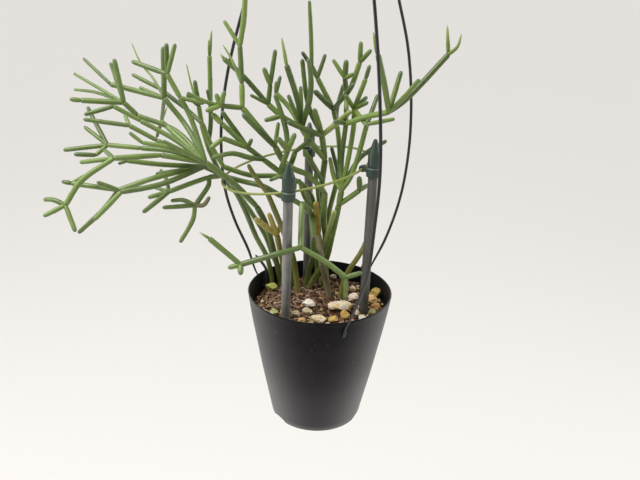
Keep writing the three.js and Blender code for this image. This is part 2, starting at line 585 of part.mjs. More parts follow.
function obstacles() {
  const list = [];
  for (const stake of Object.values(stakes)) {
    const line = stakeLine(stake);
    const { low, high, along } = line;
    const capEnd = high.clone().addScaledVector(along, CAP_LENGTH - 3);
    list.push(fixedStretch(...clipPlaces(line), BOSS_RADIUS));
    list.push(fixedStretch(low, high, STAKE_RADIUS));
    list.push(fixedStretch(high, capEnd, CAP_RADIUS + 0.8));
  }
  for (let i = 0; i < 24; i += 1) {
    const [start, end] = [i, i + 1].map((step) => ringPlace((step / 12) * Math.PI));
    list.push(fixedStretch(start, end, RING_WIRE / 2 + CLEAR));
  }
  for (const leg of Object.values(legs)) {
    for (const places of [bowPlaces(leg), hookedPlaces(leg)]) {
      places.slice(1).forEach((spot, i) => {
        list.push(fixedStretch(places[i], spot, HANGER_WIRE / 2 + 2 * CLEAR));
      });
    }
  }
  return list;
}

// The nearest places of two stretches, as shares of their lengths, and their distance.
function nearest(a, b, c, d) {
  const u = b.clone().sub(a);
  const v = d.clone().sub(c);
  const w = a.clone().sub(c);
  const [uu, uv, vv, uw, vw] = [u.dot(u), u.dot(v), v.dot(v), u.dot(w), v.dot(w)];
  const parallel = uu * vv - uv * uv;
  const free = parallel > 1e-9 ? (uv * vw - vv * uw) / parallel : 0.5;
  const t = THREE.MathUtils.clamp((THREE.MathUtils.clamp(free, 0, 1) * uv + vw) / vv, 0, 1);
  const s = THREE.MathUtils.clamp((t * uv - uw) / uu, 0, 1);
  const gap = a.clone().addScaledVector(u, s).distanceTo(c.clone().addScaledVector(v, t));
  return { s, t, gap };
}

function shift(stretch, share, push) {
  const { from, to } = stretch;
  if (from.kind !== 'foot') from.near += push * (1 - share);
  if (to.kind !== 'foot') to.near += push * share;
}

// Stems that would cross are moved apart along the line of sight, the one in front
// forward and the other back, until all are clear.
function bendClear(moving) {
  const others = [...moving, ...obstacles()];
  for (let sweep = 0; sweep < BEND_SWEEPS; sweep += 1) {
    let touching = 0;
    moving.forEach((one, i) => {
      for (const two of others.slice(i + 1)) {
        if (one.name === two.name) continue;
        const { s, t, gap } = nearest(...[one.from, one.to, two.from, two.to].map(spotOf));
        const need = one.radius + two.radius + STEM_CLEAR;
        if (gap >= need) continue;
        touching += 1;
        const depth = ({ from, to }, share) => from.near + (to.near - from.near) * share;
        const way = depth(one, s) >= depth(two, t) ? 1 : -1;
        const push = way * Math.min(need - gap, 2) * 0.5;
        shift(one, s, push);
        shift(two, t, -push);
      }
    });
    if (touching === 0) break;
  }
}

// The straightest way on from a place is the same stem; the other ways are branches.
function onward(before, here) {
  const way = before ? spotOf(here).sub(spotOf(before)).normalize() : new THREE.Vector3(0, 0, 1);
  const turns = here.kids.map((kid) => spotOf(kid).sub(spotOf(here)).normalize().dot(way));
  return here.kids[turns.indexOf(Math.max(...turns))];
}

// Each stem and branch as the list of places that it runs through.
function chainsFrom(start, first) {
  const chain = [start, first];
  const branches = [];
  for (let here = first; here.kids.length > 0; here = chain[chain.length - 1]) {
    const next = onward(chain[chain.length - 2], here);
    const others = here.kids.filter((kid) => kid !== next);
    branches.push(...others.flatMap((kid) => chainsFrom(here, kid)));
    chain.push(next);
  }
  return [chain, ...branches];
}

// The rings that an internode is lofted through: full width soon after its joint, at
// its bends and just before its end, where it is pinched in a joint, blunt or pointed.
function internodeRings(run) {
  const curve = new THREE.CatmullRomCurve3(run.map(spotOf), false, 'centripetal');
  const length = curve.getLength();
  const { kind, width } = run[run.length - 1];
  const first = run[1].width / 2;
  const last = width / 2;
  const at = (distance, radius) => {
    const share = THREE.MathUtils.clamp(distance / length, 0, 1);
    const along = curve.getTangentAt(share);
    const centre = curve.getPointAt(share).addScaledVector(along, distance - share * length);
    return { centre, along, radius };
  };
  const bends = run.slice(1, -1).map((here, i) => {
    const share = (i + 1) / (run.length - 1);
    return { centre: curve.getPoint(share), along: curve.getTangent(share), radius: here.width / 2 };
  });
  const ends = {
    joint: [at(length - 2 * last, last), at(length, last * PINCH)],
    tip: [at(length - 0.6 * last, last * 0.88), at(length, 0)],
    shoot: [at(length * 0.6, last * 0.72), at(length, 0)],
  };
  const roomy = spotOf(run[0]).distanceTo(spotOf(run[1])) > SHORT * first;
  const start = roomy ? [at(2.2 * first, first)] : [];
  if (bends.length === 0 && !roomy) ends.joint[0] = at(length / 2, last);
  return [...start, ...bends, ...ends[kind]];
}

// The rings of a whole stem or branch, from a point sunk in the joint it starts from.
function chainRings(chain) {
  const runs = [];
  chain.slice(1).forEach((here, i) => {
    if (i === 0 || chain[i].kind !== 'bend') runs.push([chain[i]]);
    runs[runs.length - 1].push(here);
  });
  const [start, next] = chain.map(spotOf);
  const along = next.clone().sub(start).normalize();
  const radius = chain[1].width / 2;
  const sunk = start.clone().addScaledVector(along, -radius * 0.3);
  const rings = [
    { centre: sunk, along, radius: 0 },
    { centre: start, along, radius: radius * PINCH },
    ...runs.flatMap(internodeRings),
  ];
  rings.slice(1, -1).forEach((ring, i) => {
    const before = ring.centre.clone().sub(rings[i].centre).normalize();
    const after = rings[i + 2].centre.clone().sub(ring.centre).normalize();
    ring.along = before.add(after).normalize();
  });
  return rings;
}

// A closed body through rings, of which the first and the last are points.
function loft(rings, sides) {
  const corners = [];
  const faces = [];
  let side = new THREE.Vector3(1, 0, 0).cross(rings[0].along).normalize();
  rings.forEach(({ centre, along, radius }, level) => {
    side = side.clone().addScaledVector(along, -side.dot(along)).normalize();
    const over = along.clone().cross(side);
    for (let i = 0; i < sides; i += 1) {
      const turn = (i / sides) * 2 * Math.PI;
      const corner = centre.clone().addScaledVector(side, radius * Math.cos(turn));
      corners.push(...corner.addScaledVector(over, radius * Math.sin(turn)));
      const [a, b] = [i, (i + 1) % sides].map((step) => level * sides + step);
      if (level > 0) faces.push(a - sides, b - sides, b, a - sides, b, a);
    }
  });
  const geometry = new THREE.BufferGeometry();
  geometry.setAttribute('position', new THREE.Float32BufferAttribute(corners, 3));
  geometry.setIndex(faces);
  return toSolid(geometry);
}

function stemSolid(root) {
  const chains = root.kids.flatMap((kid) => chainsFrom(root, kid));
  return joined(chains.map((chain) => loft(chainRings(chain), STEM_SIDES)));
}

// The stems' greens, from the bluish leaning ones to the old ochre one.
const stemColours = {
  stem_left_main: 0x5d7f3a,
  stem_left_lower: 0x4c7038,
  stem_low_spray: 0x5f8347,
  stem_left_back: 0x557a41,
  stem_arching: 0x4a6c33,
  stem_upper_left: 0x557a35,
  stem_mid_left: 0x5b7c36,
  stem_olive_left: 0x6d7536,
  stem_ochre: 0x8a7d32,
  stem_centre: 0x4c6a2d,
  stem_tall: 0x4f7238,
  stem_right: 0x567a38,
  stem_olive_right: 0x757b3c,
};

const roots = Object.entries(trees).map(([name, list]) => [name, grow(list)]);
bendClear(roots.flatMap(([name, root]) => stretches(name, root)));
for (const [name, root] of roots) {
  addMesh(name, stemSolid(root), material(stemColours[name], 0.5));
}

// Soil: fills the pot, with plain holes for the stems and stakes

// The soil's surface by radius: a low mound that falls toward the wall.
const soilTop = [[0, SOIL_LEVEL + 2], [49, SOIL_LEVEL + 1], [56, SOIL_LEVEL - 1]];
const SOIL_GAP = WALL + CLEAR + 0.2;

function soilHeight(radius) {
  const outer = soilTop.findIndex(([edge]) => radius < edge);
  const [farRadius, far] = soilTop[outer];
  const [closeRadius, close] = soilTop[outer - 1];
  return close + ((far - close) * (radius - closeRadius)) / (farRadius - closeRadius);
}

function soilSolid() {
  let soil = turned([
    [0, floorTop + CLEAR], [wallRadius(floorTop) - SOIL_GAP - 0.4, floorTop + CLEAR],
    [wallRadius(-70) - SOIL_GAP, -70], ...soilTop.slice().reverse(),
  ], POT_SIDES);
  for (const stake of Object.values(stakes)) {
    const { low, high, along } = stakeLine(stake);
    const bottom = low.clone().addScaledVector(along, -CLEAR);
    soil = soil.subtract(bar(STAKE_RADIUS + CLEAR, 12, bottom, high));
  }
  for (const [, root] of roots) {
    const [start, next] = [root, root.kids[0]].map(spotOf);
    const down = start.clone().sub(next).normalize();
    const bottom = start.clone().addScaledVector(down, root.width / 4);
    const above = start.clone().addScaledVector(down, -2 * ROOT_DEPTH - 8);
    soil = soil.subtract(bar(root.width / 2 + 2 * CLEAR, 8, bottom, above));
  }
  return largest(soil);
}

addMesh('soil', soilSolid(), material(0x4a3324, 0.95));

// Stones: gravel and pumice that lies on the soil, each a rough ball with a flat underside

// Each stone: x, y, width, depth, height, its turn in degrees and its colour.
const stones = {
  stone_green_left: [-42, 20, 11.8, 9.2, 8.6, 20, 0xb0a850],
  stone_green_front: [-36, -25.7, 8, 8, 7, 70, 0x8c9350],
  stone_cream_left: [-18.8, -27, 7.2, 7, 6, 40, 0xd9cfae],
  stone_white: [-8.4, -9.6, 12, 9, 7.8, 10, 0xe4ddcd],
  stone_cream: [-9.7, -22.4, 9.2, 8, 6.8, 150, 0xcfc196],
  stone_orange: [-13.6, -36.6, 6.6, 7, 6, 30, 0xb98a4a],
  stone_cream_long: [-0.8, -34, 15.4, 8.5, 6.6, 176, 0xd8cba6],
  stone_yellow_front: [11.8, -33.4, 8.6, 7.5, 6, 20, 0xc9b45c],
  stone_cream_large: [16.6, -15.4, 20, 11.6, 10.5, 8, 0xd8c79a],
  stone_yellow: [21.2, -26, 8.4, 8, 8, 60, 0xcdb763],
  stone_cream_right: [30.6, -21.4, 5.8, 6, 6.6, 30, 0xd9cba0],
  stone_white_small: [35.4, -27.8, 7.2, 6.5, 6, 120, 0xe0d8c4],
  stone_olive: [43.4, -21, 8.6, 7.5, 7.6, 15, 0x9c9358],
  stone_pink: [28.4, 4, 9.2, 8.8, 8, 80, 0xddcbb6],
  stone_orange_right: [46.8, -10, 8.8, 8.4, 8.2, 40, 0xcfa667],
  stone_amber_right: [44.2, 2.6, 12.4, 8.6, 9, -40, 0xc28f4e],
  stone_yellow_right: [48.2, 15.2, 9.6, 9, 9.4, 10, 0xc7b069],
  stone_amber_back: [41, 29.6, 6.6, 6.6, 8, 10, 0xd2a765],
  stone_tan_back: [28.5, 22.5, 6.4, 6, 7, 55, 0xbfa878],
  stone_grey_back: [11.5, 46.5, 6.6, 6.6, 5.6, 25, 0xa9a08c],
};
const UNDERSIDE = -0.62;          // where the rough ball is cut flat, in half heights

function stoneSolid([x, y, width, depth, height, degrees]) {
  const ball = new THREE.IcosahedronGeometry(1, 1);
  ball.deleteAttribute('normal');
  ball.deleteAttribute('uv');
  const geometry = mergeVertices(ball, 1e-4);
  const corners = geometry.attributes.position;
  for (let i = 0; i < corners.count; i += 1) {
    const swell = 0.88 + 0.2 * draw();
    const [cx, cy, cz] = [corners.getX(i), corners.getY(i), corners.getZ(i)];
    corners.setXYZ(i, cx * swell, cy * swell, Math.max(cz * swell, UNDERSIDE));
  }
  geometry.scale(width / 2, depth / 2, height / 2);
  geometry.rotateZ(THREE.MathUtils.degToRad(degrees));
  const nearEdge = Math.max(Math.hypot(x, y) - width / 2, 0);
  geometry.translate(x, y, soilHeight(nearEdge) + CLEAR - UNDERSIDE * (height / 2));
  return toSolid(geometry);
}

for (const [name, stone] of Object.entries(stones)) {
  addMesh(name, stoneSolid(stone), material(stone[6], 0.9));
}

export default part;
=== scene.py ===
"""A rush cactus in a black hanging pot: jointed cylindrical stems that branch in whorls, three capped
stakes with a wire ring that hold them up, and a three-legged wire hanger. Metres, +Z up, with the
origin where the hanger's hook bears on whatever holds it."""
import functools
import math
import random

import bmesh
import bpy
import numpy as np
from mathutils import Matrix, Vector, noise


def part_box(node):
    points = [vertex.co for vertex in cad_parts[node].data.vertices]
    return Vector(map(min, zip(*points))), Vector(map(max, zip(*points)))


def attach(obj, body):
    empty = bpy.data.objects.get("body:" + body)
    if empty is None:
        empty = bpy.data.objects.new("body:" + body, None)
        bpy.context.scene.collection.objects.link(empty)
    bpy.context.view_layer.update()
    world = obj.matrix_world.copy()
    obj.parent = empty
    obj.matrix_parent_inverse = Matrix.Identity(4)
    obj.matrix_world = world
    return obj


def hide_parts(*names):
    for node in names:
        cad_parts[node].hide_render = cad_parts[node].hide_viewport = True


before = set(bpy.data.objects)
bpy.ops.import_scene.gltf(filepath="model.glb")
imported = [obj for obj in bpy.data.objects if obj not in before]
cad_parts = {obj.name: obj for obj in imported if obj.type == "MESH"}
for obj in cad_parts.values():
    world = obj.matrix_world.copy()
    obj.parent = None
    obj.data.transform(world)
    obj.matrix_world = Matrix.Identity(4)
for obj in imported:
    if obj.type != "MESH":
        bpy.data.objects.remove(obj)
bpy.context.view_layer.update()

# Camera, floor and light. The camera stands half a metre in front of the pot and looks down on it
# by 22 degrees. The object hangs well above a large pale floor, lit by broad soft lamps.
MM = 0.001
FLOOR_DROP = 0.6          # from the pot's foot to the floor
FLOOR_REACH = 30
LIT_PLACE = (0, 0, -0.38)  # the object's middle, which the lamps face
rim_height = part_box("pot")[1].z
scene = bpy.context.scene


def above_rim(x, y, z):
    """A place given in millimetres from the centre of the pot's rim."""
    return Vector((x * MM, y * MM, z * MM + rim_height))


def feed(node, inputs):
    """Gives a node its inputs, as values or as sockets to link."""
    for key, value in inputs.items():
        if isinstance(value, bpy.types.NodeSocket):
            node.id_data.links.new(value, node.inputs[key])
        else:
            node.inputs[key].default_value = value


def put(tree, kind, inputs=None, **settings):
    """Adds a node to a tree, with its settings and its inputs."""
    node = tree.nodes.new(kind)
    for name, value in settings.items():
        setattr(node, name, value)
    feed(node, inputs or {})
    return node


def band(tree, value, low, high, start=0.0, end=1.0):
    """The start value up to low and the end value from high on, smooth between."""
    inputs = {"Value": value, "From Min": low, "From Max": high, "To Min": start, "To Max": end}
    return put(tree, "ShaderNodeMapRange", inputs, interpolation_type="SMOOTHSTEP").outputs[0]


def new_material(name):
    """An empty node material and its tree, with a Principled shader on its output."""
    material = bpy.data.materials.new(name)
    material.use_nodes = True
    tree = material.node_tree
    tree.nodes.clear()
    shader = put(tree, "ShaderNodeBsdfPrincipled")
    put(tree, "ShaderNodeOutputMaterial", {"Surface": shader.outputs[0]})
    return material, tree, shader


def linked(name, data):
    """A new object in the scene, for a mesh, a lamp or the camera."""
    made = bpy.data.objects.new(name, data)
    scene.collection.objects.link(made)
    return made


def light(name, kind, place, toward, watts, colour, **settings):
    lamp = bpy.data.lights.new(name, kind)
    for key, value in {"energy": watts, "color": colour, **settings}.items():
        setattr(lamp, key, value)
    way = (Vector(toward) - Vector(place)).to_track_quat("-Z", "Y")
    linked(name, lamp).matrix_world = Matrix.LocRotScale(Vector(place), way, None)


camera = linked("camera", bpy.data.cameras.new("camera"))
camera.data.lens = 39.8
camera.data.sensor_width = 36
ahead = Vector((-0.00254, 0.92496, -0.38005))
rightward = Vector((0.99925, 0.01701, 0.03470))
facing = Matrix((rightward, rightward.cross(ahead), -ahead)).transposed()
camera.matrix_world = Matrix.LocRotScale(above_rim(0, -533, 263.2), facing.to_quaternion(), None)
scene.camera = camera

floor_mesh = bpy.data.meshes.new("floor")
floor_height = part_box("pot")[0].z - FLOOR_DROP
floor_mesh.from_pydata([
    (x * FLOOR_REACH, y * FLOOR_REACH, floor_height) for x, y in ((-1, -1), (1, -1), (1, 1), (-1, 1))
], [], [(0, 1, 2, 3)])
pale_paint, tree, shader = new_material("pale_floor")
feed(shader, {"Base Color": (0.70, 0.685, 0.665, 1), "Roughness": 0.9})
floor_mesh.materials.append(pale_paint)
linked("floor", floor_mesh)

light("lamp_above", "AREA", (-0.5, -0.35, 0.7), LIT_PLACE, 7.5, (1, 0.99, 0.97), size=0.6)
light("lamp_left", "AREA", (-1.5, -0.1, 0.1), LIT_PLACE, 7, (0.97, 0.99, 1), size=1.0)
light("lamp_right", "AREA", (1.4, 0.2, 0.1), LIT_PLACE, 5, (1, 0.99, 0.97), size=0.8)
light("broad_sun", "SUN", (0, 0, 2), (0.5, 0.35, 1), 1.5, (1, 0.985, 0.96), angle=math.radians(30))

# The studio is dimmer behind the camera, so the dark pot shines only toward its sides.
world = bpy.data.worlds.new("studio")
world.use_nodes = True
tree = world.node_tree
way = put(tree, "ShaderNodeSeparateXYZ", {0: put(tree, "ShaderNodeTexCoord").outputs["Generated"]}).outputs[1]
glow = band(tree, way, -0.85, 0.1, 0.3, 0.98)
feed(tree.nodes["Background"], {"Strength": glow, "Color": (0.86, 0.85, 0.84, 1)})
scene.world = world
scene.view_settings.view_transform = "Standard"

# Pot. One thin shell of moulded black plastic: a tapered wall with a rounded lip, a foot cut by
# three shallow arches, a raised floor with drain holes, and three holes under the rim for the hanger.
OUTER_WALL = [(38.6, -115.5), (48, -70), (56.3, -25), (58.7, -10), (60, 0)]  # radius, height
FOOT_RADIUS, FOOT = OUTER_WALL[0]
RIM_RADIUS = OUTER_WALL[-1][0]
WALL = 1.3
FLOOR_TOP = -108.5
POT_SIDES = 180
NOTCHES, FIRST_NOTCH, NOTCH_RADIUS, NOTCH_RISE = 3, -52, 13.4, 3.2
DRAINS, FIRST_DRAIN, DRAIN_CIRCLE, DRAIN_RADIUS = 5, -36, 22, 4
HANGER_HOLES = {"front": 19.5, "back": 137, "left": -119}  # degrees around from the front
HOLE_DEPTH = 13           # the hanger's holes below the rim
HOLE_RADIUS = 1.5


def wall_radius(z):
    """The outer wall's radius at a height, in mm."""
    return float(np.interp(z, [height for _, height in OUTER_WALL], [radius for radius, _ in OUTER_WALL]))


def around(radius, azimuth, z):
    """A place at a radius from the pot's axis, in mm. Azimuth 0 is the front, 90 the right."""
    turn = math.radians(azimuth)
    return Vector((radius * math.sin(turn), -radius * math.cos(turn), z))


def circle(radius, count, height):
    """Evenly spaced places round the Z axis, or just the one on it."""
    turns = [2 * math.pi * i / count for i in range(count if radius else 1)]
    return [(radius * math.cos(turn), radius * math.sin(turn), height) for turn in turns]


def loft(shape, rings):
    """Skins a bmesh over rings of places, where a ring of one place is a point."""
    sides = max(len(ring) for ring in rings)
    rings = [[shape.verts.new(spot) for spot in ring] for ring in rings]
    for low, high in zip(rings, rings[1:]):
        for side in range(sides):
            turns = (side, (side + 1) % sides)
            ends = [low[i % len(low)] for i in turns] + [high[i % len(high)] for i in turns[::-1]]
            shape.faces.new([corner for i, corner in enumerate(ends) if corner is not ends[i - 1]])
    return [vertex for ring in rings for vertex in ring]


def lathe(shape, profile, sides, place=None, turn=None):
    """Turns (radius, height) pairs round the Z axis in a bmesh, then turns and moves the result."""
    made = loft(shape, [circle(radius, sides, height) for radius, height in profile])
    if place is not None:
        bmesh.ops.rotate(shape, verts=made, cent=(0, 0, 0), matrix=turn.to_matrix())
        bmesh.ops.translate(shape, verts=made, vec=place)


def bar(shape, radius, start, end, sides=24):
    """A round bar between two places, for cutting."""
    along = end - start
    profile = [(0, 0), (radius, 0), (radius, along.length), (0, along.length)]
    lathe(shape, profile, sides, start, along.to_track_quat("Z", "Y"))


def shown_object(name, mesh, sharp=None):
    """An object for a mesh, shaded smooth but for the edges sharper than an angle in degrees."""
    mesh.name = name
    mesh.shade_smooth()
    if sharp:
        mesh.set_sharp_from_angle(angle=math.radians(sharp))
    return linked(name, mesh)


def to_object(name, shape, sharp=None, coat=None):
    """Makes an object in metres, in the frame's place, from a bmesh in mm above the rim."""
    bmesh.ops.scale(shape, vec=(MM, MM, MM), verts=shape.verts)
    bmesh.ops.translate(shape, vec=(0, 0, rim_height), verts=shape.verts)
    bmesh.ops.recalc_face_normals(shape, faces=shape.faces)
    mesh = bpy.data.meshes.new(name)
    shape.to_mesh(mesh)
    shape.free()
    if coat:
        mesh.materials.append(coat)
    return shown_object(name, mesh, sharp)


def finished(made, sharp=None):
    """Turns an object with modifiers into a plain mesh object of the same name."""
    evaluated = made.evaluated_get(bpy.context.evaluated_depsgraph_get())
    mesh, name = bpy.data.meshes.new_from_object(evaluated), made.name
    bpy.data.objects.remove(made)
    return shown_object(name, mesh, sharp)


def stand_for(piece, node):
    """The piece rides with the pot and stands for a CAD node, which it hides."""
    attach(piece, "root")
    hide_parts(node)


floor_low = FLOOR_TOP - WALL
floor_edge = wall_radius(floor_low) - WALL
shape = bmesh.new()
lathe(shape, [
    (0, floor_low), (floor_edge - 1, floor_low), (floor_edge, floor_low - 1),
    (FOOT_RADIUS - WALL, FOOT + 0.4), (FOOT_RADIUS - WALL + 0.3, FOOT), (FOOT_RADIUS - 0.3, FOOT),
    *((wall_radius(z), z) for z in np.linspace(FOOT + 0.5, -1.5, 24)),
    *((RIM_RADIUS - WALL / 2 + WALL / 2 * math.cos(a), -WALL / 2 + WALL / 2 * math.sin(a))
      for a in np.linspace(0, math.pi, 8)),
    *((wall_radius(z) - WALL, z) for z in np.linspace(-2, FLOOR_TOP + 1.5, 16)),
    (wall_radius(FLOOR_TOP) - WALL - 1.5, FLOOR_TOP), (0, FLOOR_TOP),
], POT_SIDES)
pot = to_object("pot_shell", shape)
shape = bmesh.new()
for i in range(NOTCHES):
    azimuth = FIRST_NOTCH + 360 / NOTCHES * i
    centre = NOTCH_RISE - NOTCH_RADIUS + FOOT
    bar(shape, NOTCH_RADIUS, around(32, azimuth, centre), around(45, azimuth, centre), 96)
for i in range(DRAINS):
    low, high = (around(DRAIN_CIRCLE, FIRST_DRAIN + 360 / DRAINS * i, FLOOR_TOP + rise) for rise in (-4, 4))
    bar(shape, DRAIN_RADIUS, low, high)
for azimuth in HANGER_HOLES.values():
    bar(shape, HOLE_RADIUS, around(52, azimuth, -HOLE_DEPTH), around(64, azimuth, -HOLE_DEPTH))
cutter = to_object("cutter", shape)
cut = pot.modifiers.new("holes", "BOOLEAN")
cut.operation, cut.solver, cut.object = "DIFFERENCE", "EXACT", cutter
pot = finished(pot, 40)
bpy.data.objects.remove(cutter)


def new_group(name, inputs, outputs):
    """A shader node group with named sockets, given as {name: first value}; colours have 4 numbers."""
    group = bpy.data.node_groups.new(name, "ShaderNodeTree")
    for direction, sockets in (("INPUT", inputs), ("OUTPUT", outputs)):
        for label, value in sockets.items():
            kind = {0: "Float", 3: "Vector", 4: "Color"}[len(value) if isinstance(value, tuple) else 0]
            socket = group.interface.new_socket(label, in_out=direction, socket_type="NodeSocket" + kind)
            if direction == "INPUT":
                socket.default_value = value
    return group, put(group, "NodeGroupInput").outputs


def math_node(tree, operation, a, b=0.0, c=0.0):
    return put(tree, "ShaderNodeMath", {0: a, 1: b, 2: c}, operation=operation).outputs[0]


def times(tree, a, b):
    return math_node(tree, "MULTIPLY", a, b)


def opaque(colour):
    return (*colour, 1) if isinstance(colour, tuple) and len(colour) == 3 else colour


def mix(tree, share, a, b):
    """A colour mixed from two, by a share."""
    return put(tree, "ShaderNodeMix", {0: share, 6: opaque(a), 7: opaque(b)}, data_type="RGBA").outputs[2]


def object_place(tree):
    return put(tree, "ShaderNodeTexCoord").outputs["Object"]


def noise_value(tree, place, scale, detail=3.0, roughness=0.55):
    inputs = {"Vector": place, "Scale": scale, "Detail": detail, "Roughness": roughness}
    return put(tree, "ShaderNodeTexNoise", inputs).outputs[0]


def drawn_out(tree, place, scale, turn=(0, 0, 0)):
    """Places stretched unevenly, so that noise over them makes streaks."""
    return put(tree, "ShaderNodeMapping", {"Vector": place, "Scale": scale, "Rotation": turn}).outputs[0]


def cells(tree, place, scale):
    """The distance to the nearest of many scattered points."""
    return put(tree, "ShaderNodeTexVoronoi", {"Vector": place, "Scale": scale}).outputs["Distance"]


def bumped(tree, height, strength, distance):
    inputs = {"Strength": strength, "Distance": distance, "Height": height}
    return put(tree, "ShaderNodeBump", inputs).outputs[0]


# The wear of moulded plastic and coated wire: faint cloudiness, dust specks and fine scratches.
plastic_wear, into = new_group(
    "plastic_wear", {"Dust": 0.2, "Grain": 0.2}, {"Dust": 0.0, "Cloud": 0.0, "Normal": (0, 0, 0)})
tree = plastic_wear
place = object_place(tree)
speck = math_node(tree, "SUBTRACT", 1, band(tree, cells(tree, place, 420), 0.05, 0.11))
rare = band(tree, noise_value(tree, place, 140, 1, 0.5), 0.6, 0.72)
streak = drawn_out(tree, place, (900, 900, 14), (0.3, 0.2, 0.6))
scratch = band(tree, noise_value(tree, streak, 1, 1, 0.4), 0.74, 0.8)
marks = math_node(tree, "MAXIMUM", times(tree, speck, rare), times(tree, scratch, 0.5))
dust = times(tree, marks, into["Dust"])
grain = times(tree, noise_value(tree, place, 1400, 2, 0.6), into["Grain"])
relief = math_node(tree, "ADD", grain, times(tree, dust, 0.6))
put(tree, "NodeGroupOutput", {
    "Dust": dust, "Cloud": noise_value(tree, place, 45, 4, 0.6), "Normal": bumped(tree, relief, 0.25, 0.0002),
})


def worn(tree, dust, grain):
    """The outputs of the wear, with the amounts of its dust and grain."""
    return put(tree, "ShaderNodeGroup", {"Dust": dust, "Grain": grain}, node_tree=plastic_wear).outputs


def plastic(name, colour, pale, roughness, grain, dust):
    """A moulded plastic or coated surface: a colour that clouds toward a paler one, dusty here and there."""
    material, tree, shader = new_material(name)
    wear = worn(tree, dust, grain)
    clouded = mix(tree, band(tree, wear["Cloud"], 0.35, 0.75), colour, pale)
    feed(shader, {
        "Base Color": mix(tree, wear["Dust"], clouded, (0.32, 0.3, 0.27)), "Normal": wear["Normal"],
        "Roughness": math_node(tree, "MULTIPLY_ADD", wear["Cloud"], 0.16, roughness - 0.08),
    })
    return material


pot_black = plastic("pot_plastic", (0.0085, 0.0075, 0.009), (0.014, 0.012, 0.0145), 0.42, 0.5, 0.45)
tree = pot_black.node_tree
shader = tree.nodes["Principled BSDF"]
# The pot's specular is weak where it faces the eye and grows at grazing angles, more toward the foot. Toward
# the foot its colour is paler too: a painted reflection of the pale floor below.
grazing = put(tree, "ShaderNodeLayerWeight", {"Blend": 0.5}).outputs["Facing"]
height = put(tree, "ShaderNodeSeparateXYZ", {0: object_place(tree)}).outputs[2]
low_painted_reflection = math_node(tree, "SUBTRACT", 1, band(tree, height, rim_height - 0.11, rim_height - 0.03))
most = math_node(tree, "MULTIPLY_ADD", low_painted_reflection, 0.8, 0.8)
feed(shader, {
    "Specular IOR Level": band(tree, grazing, 0.16, 0.75, 0.04, most),
    "Base Color": mix(tree, low_painted_reflection, shader.inputs["Base Color"].links[0].from_socket, (0.024, 0.021, 0.025)),
})
pot.data.materials.clear()
pot.data.materials.append(pot_black)
stand_for(pot, "pot")

# Hanger. Three legs of round wire with a black coat, each bowed out round the plant and hooked
# through its hole under the rim, and a turned collar that grips their tops and holds the hook.
HANGER_WIRE = 2.4
HOOK_WIRE = 3
HOOK_RADIUS = 11
HOOK_TOP = 395            # mm from the rim to where the hook's arch bears
COLLAR_LOW, COLLAR_HIGH, COLLAR_RADIUS = 352, 370, 6.2
WIRE_GAP = 0.9            # between a leg's wire and the wall, when it has come out of its hole
WIRE_SIDES = 14
PATH_FINENESS = 40        # points that a smooth path has from one of its places to the next
outside = wall_radius(-HOLE_DEPTH) + HANGER_WIRE / 2 + WIRE_GAP
LEGS = {                  # degrees aside of the hole, degrees round the collar, and the bow
    "front": (2, 30, [
        (33, -77, 48), (36, -77, 85), (37.5, -74, 125), (34.5, -66, 175), (28, -53, 232),
        (20, -37, 282), (11, -20, 326),
    ]),
    "back": (-2, 130, [
        (57, 56, 25), (68, 63, 62), (72.1, 63.5, 105), (70.2, 60, 149), (63.3, 52, 192),
        (52.3, 42, 229), (35.3, 28, 281), (17.2, 13, 328),
    ]),
    "left": (3, -103, [
        (-62.8, 26, 22), (-74.3, 26, 49), (-81.8, 25.3, 76), (-84.2, 23.5, 112), (-82.6, 21.5, 141),
        (-76.3, 18, 178), (-62.7, 14.5, 227), (-43.5, 10, 281), (-20.8, 5, 330),
    ]),
}


def bow_places(name):
    hole, (aside, collar, bow) = HANGER_HOLES[name], LEGS[name]
    return [
        around(outside + 0.3, hole, 6 - HOLE_DEPTH), around(outside + 3.5, hole + aside, 3),
        *(Vector(place) for place in bow),
        around(3.6, collar, COLLAR_LOW - 4), around(3.1, collar, COLLAR_LOW + 8),
    ]


def hooked_places(name):
    hole, aside = HANGER_HOLES[name], LEGS[name][0]
    inside = outside - WIRE_GAP - HANGER_WIRE - WALL - 1.2
    return [
        around(outside + 0.5, hole + aside / 4, 7.5 - HOLE_DEPTH), around(outside, hole, 2.6 - HOLE_DEPTH),
        around(outside - 2, hole, -HOLE_DEPTH), around(inside + 2, hole, -HOLE_DEPTH),
        around(inside, hole, 2.4 - HOLE_DEPTH), around(inside + 0.3, hole - aside / 2, -4),
        around(56.4, hole - aside, 2.4), around(68, hole - aside, 13),
    ]


def smooth_path(places, closed=False):
    """Points close together on the smooth curve through places, and how far along it each is."""
    spots = np.array([tuple(place) for place in places], dtype=float)
    count = len(spots)
    before = spots[-1] if closed else 2 * spots[0] - spots[1]
    after = spots[:2] if closed else [2 * spots[-1] - spots[-2]]
    padded = np.vstack([before, spots, after])
    drawn = []
    for i in range(count if closed else count - 1):
        a, b, c, d = padded[i:i + 4]
        first, middle, last = (max(float(np.linalg.norm(gap)), 1e-9) ** 0.5 for gap in (b - a, c - b, d - c))
        leave = ((b - a) / first - (c - a) / (first + middle) + (c - b) / middle) * middle
        arrive = ((c - b) / middle - (d - b) / (middle + last) + (d - c) / last) * middle
        for share in np.arange(PATH_FINENESS) / PATH_FINENESS:
            cubic = 2 * b - 2 * c + leave + arrive
            square = -3 * b + 3 * c - 2 * leave - arrive
            drawn.append(b + leave * share + square * share ** 2 + cubic * share ** 3)
    drawn = np.array([*drawn, padded[1] if closed else spots[-1]])
    steps = np.linalg.norm(np.diff(drawn, axis=0), axis=1)
    return drawn, np.concatenate([[0], np.cumsum(steps)])


def at_stations(drawn, lengths, stations):
    return np.column_stack([np.interp(stations, lengths, drawn[:, axis]) for axis in range(3)])


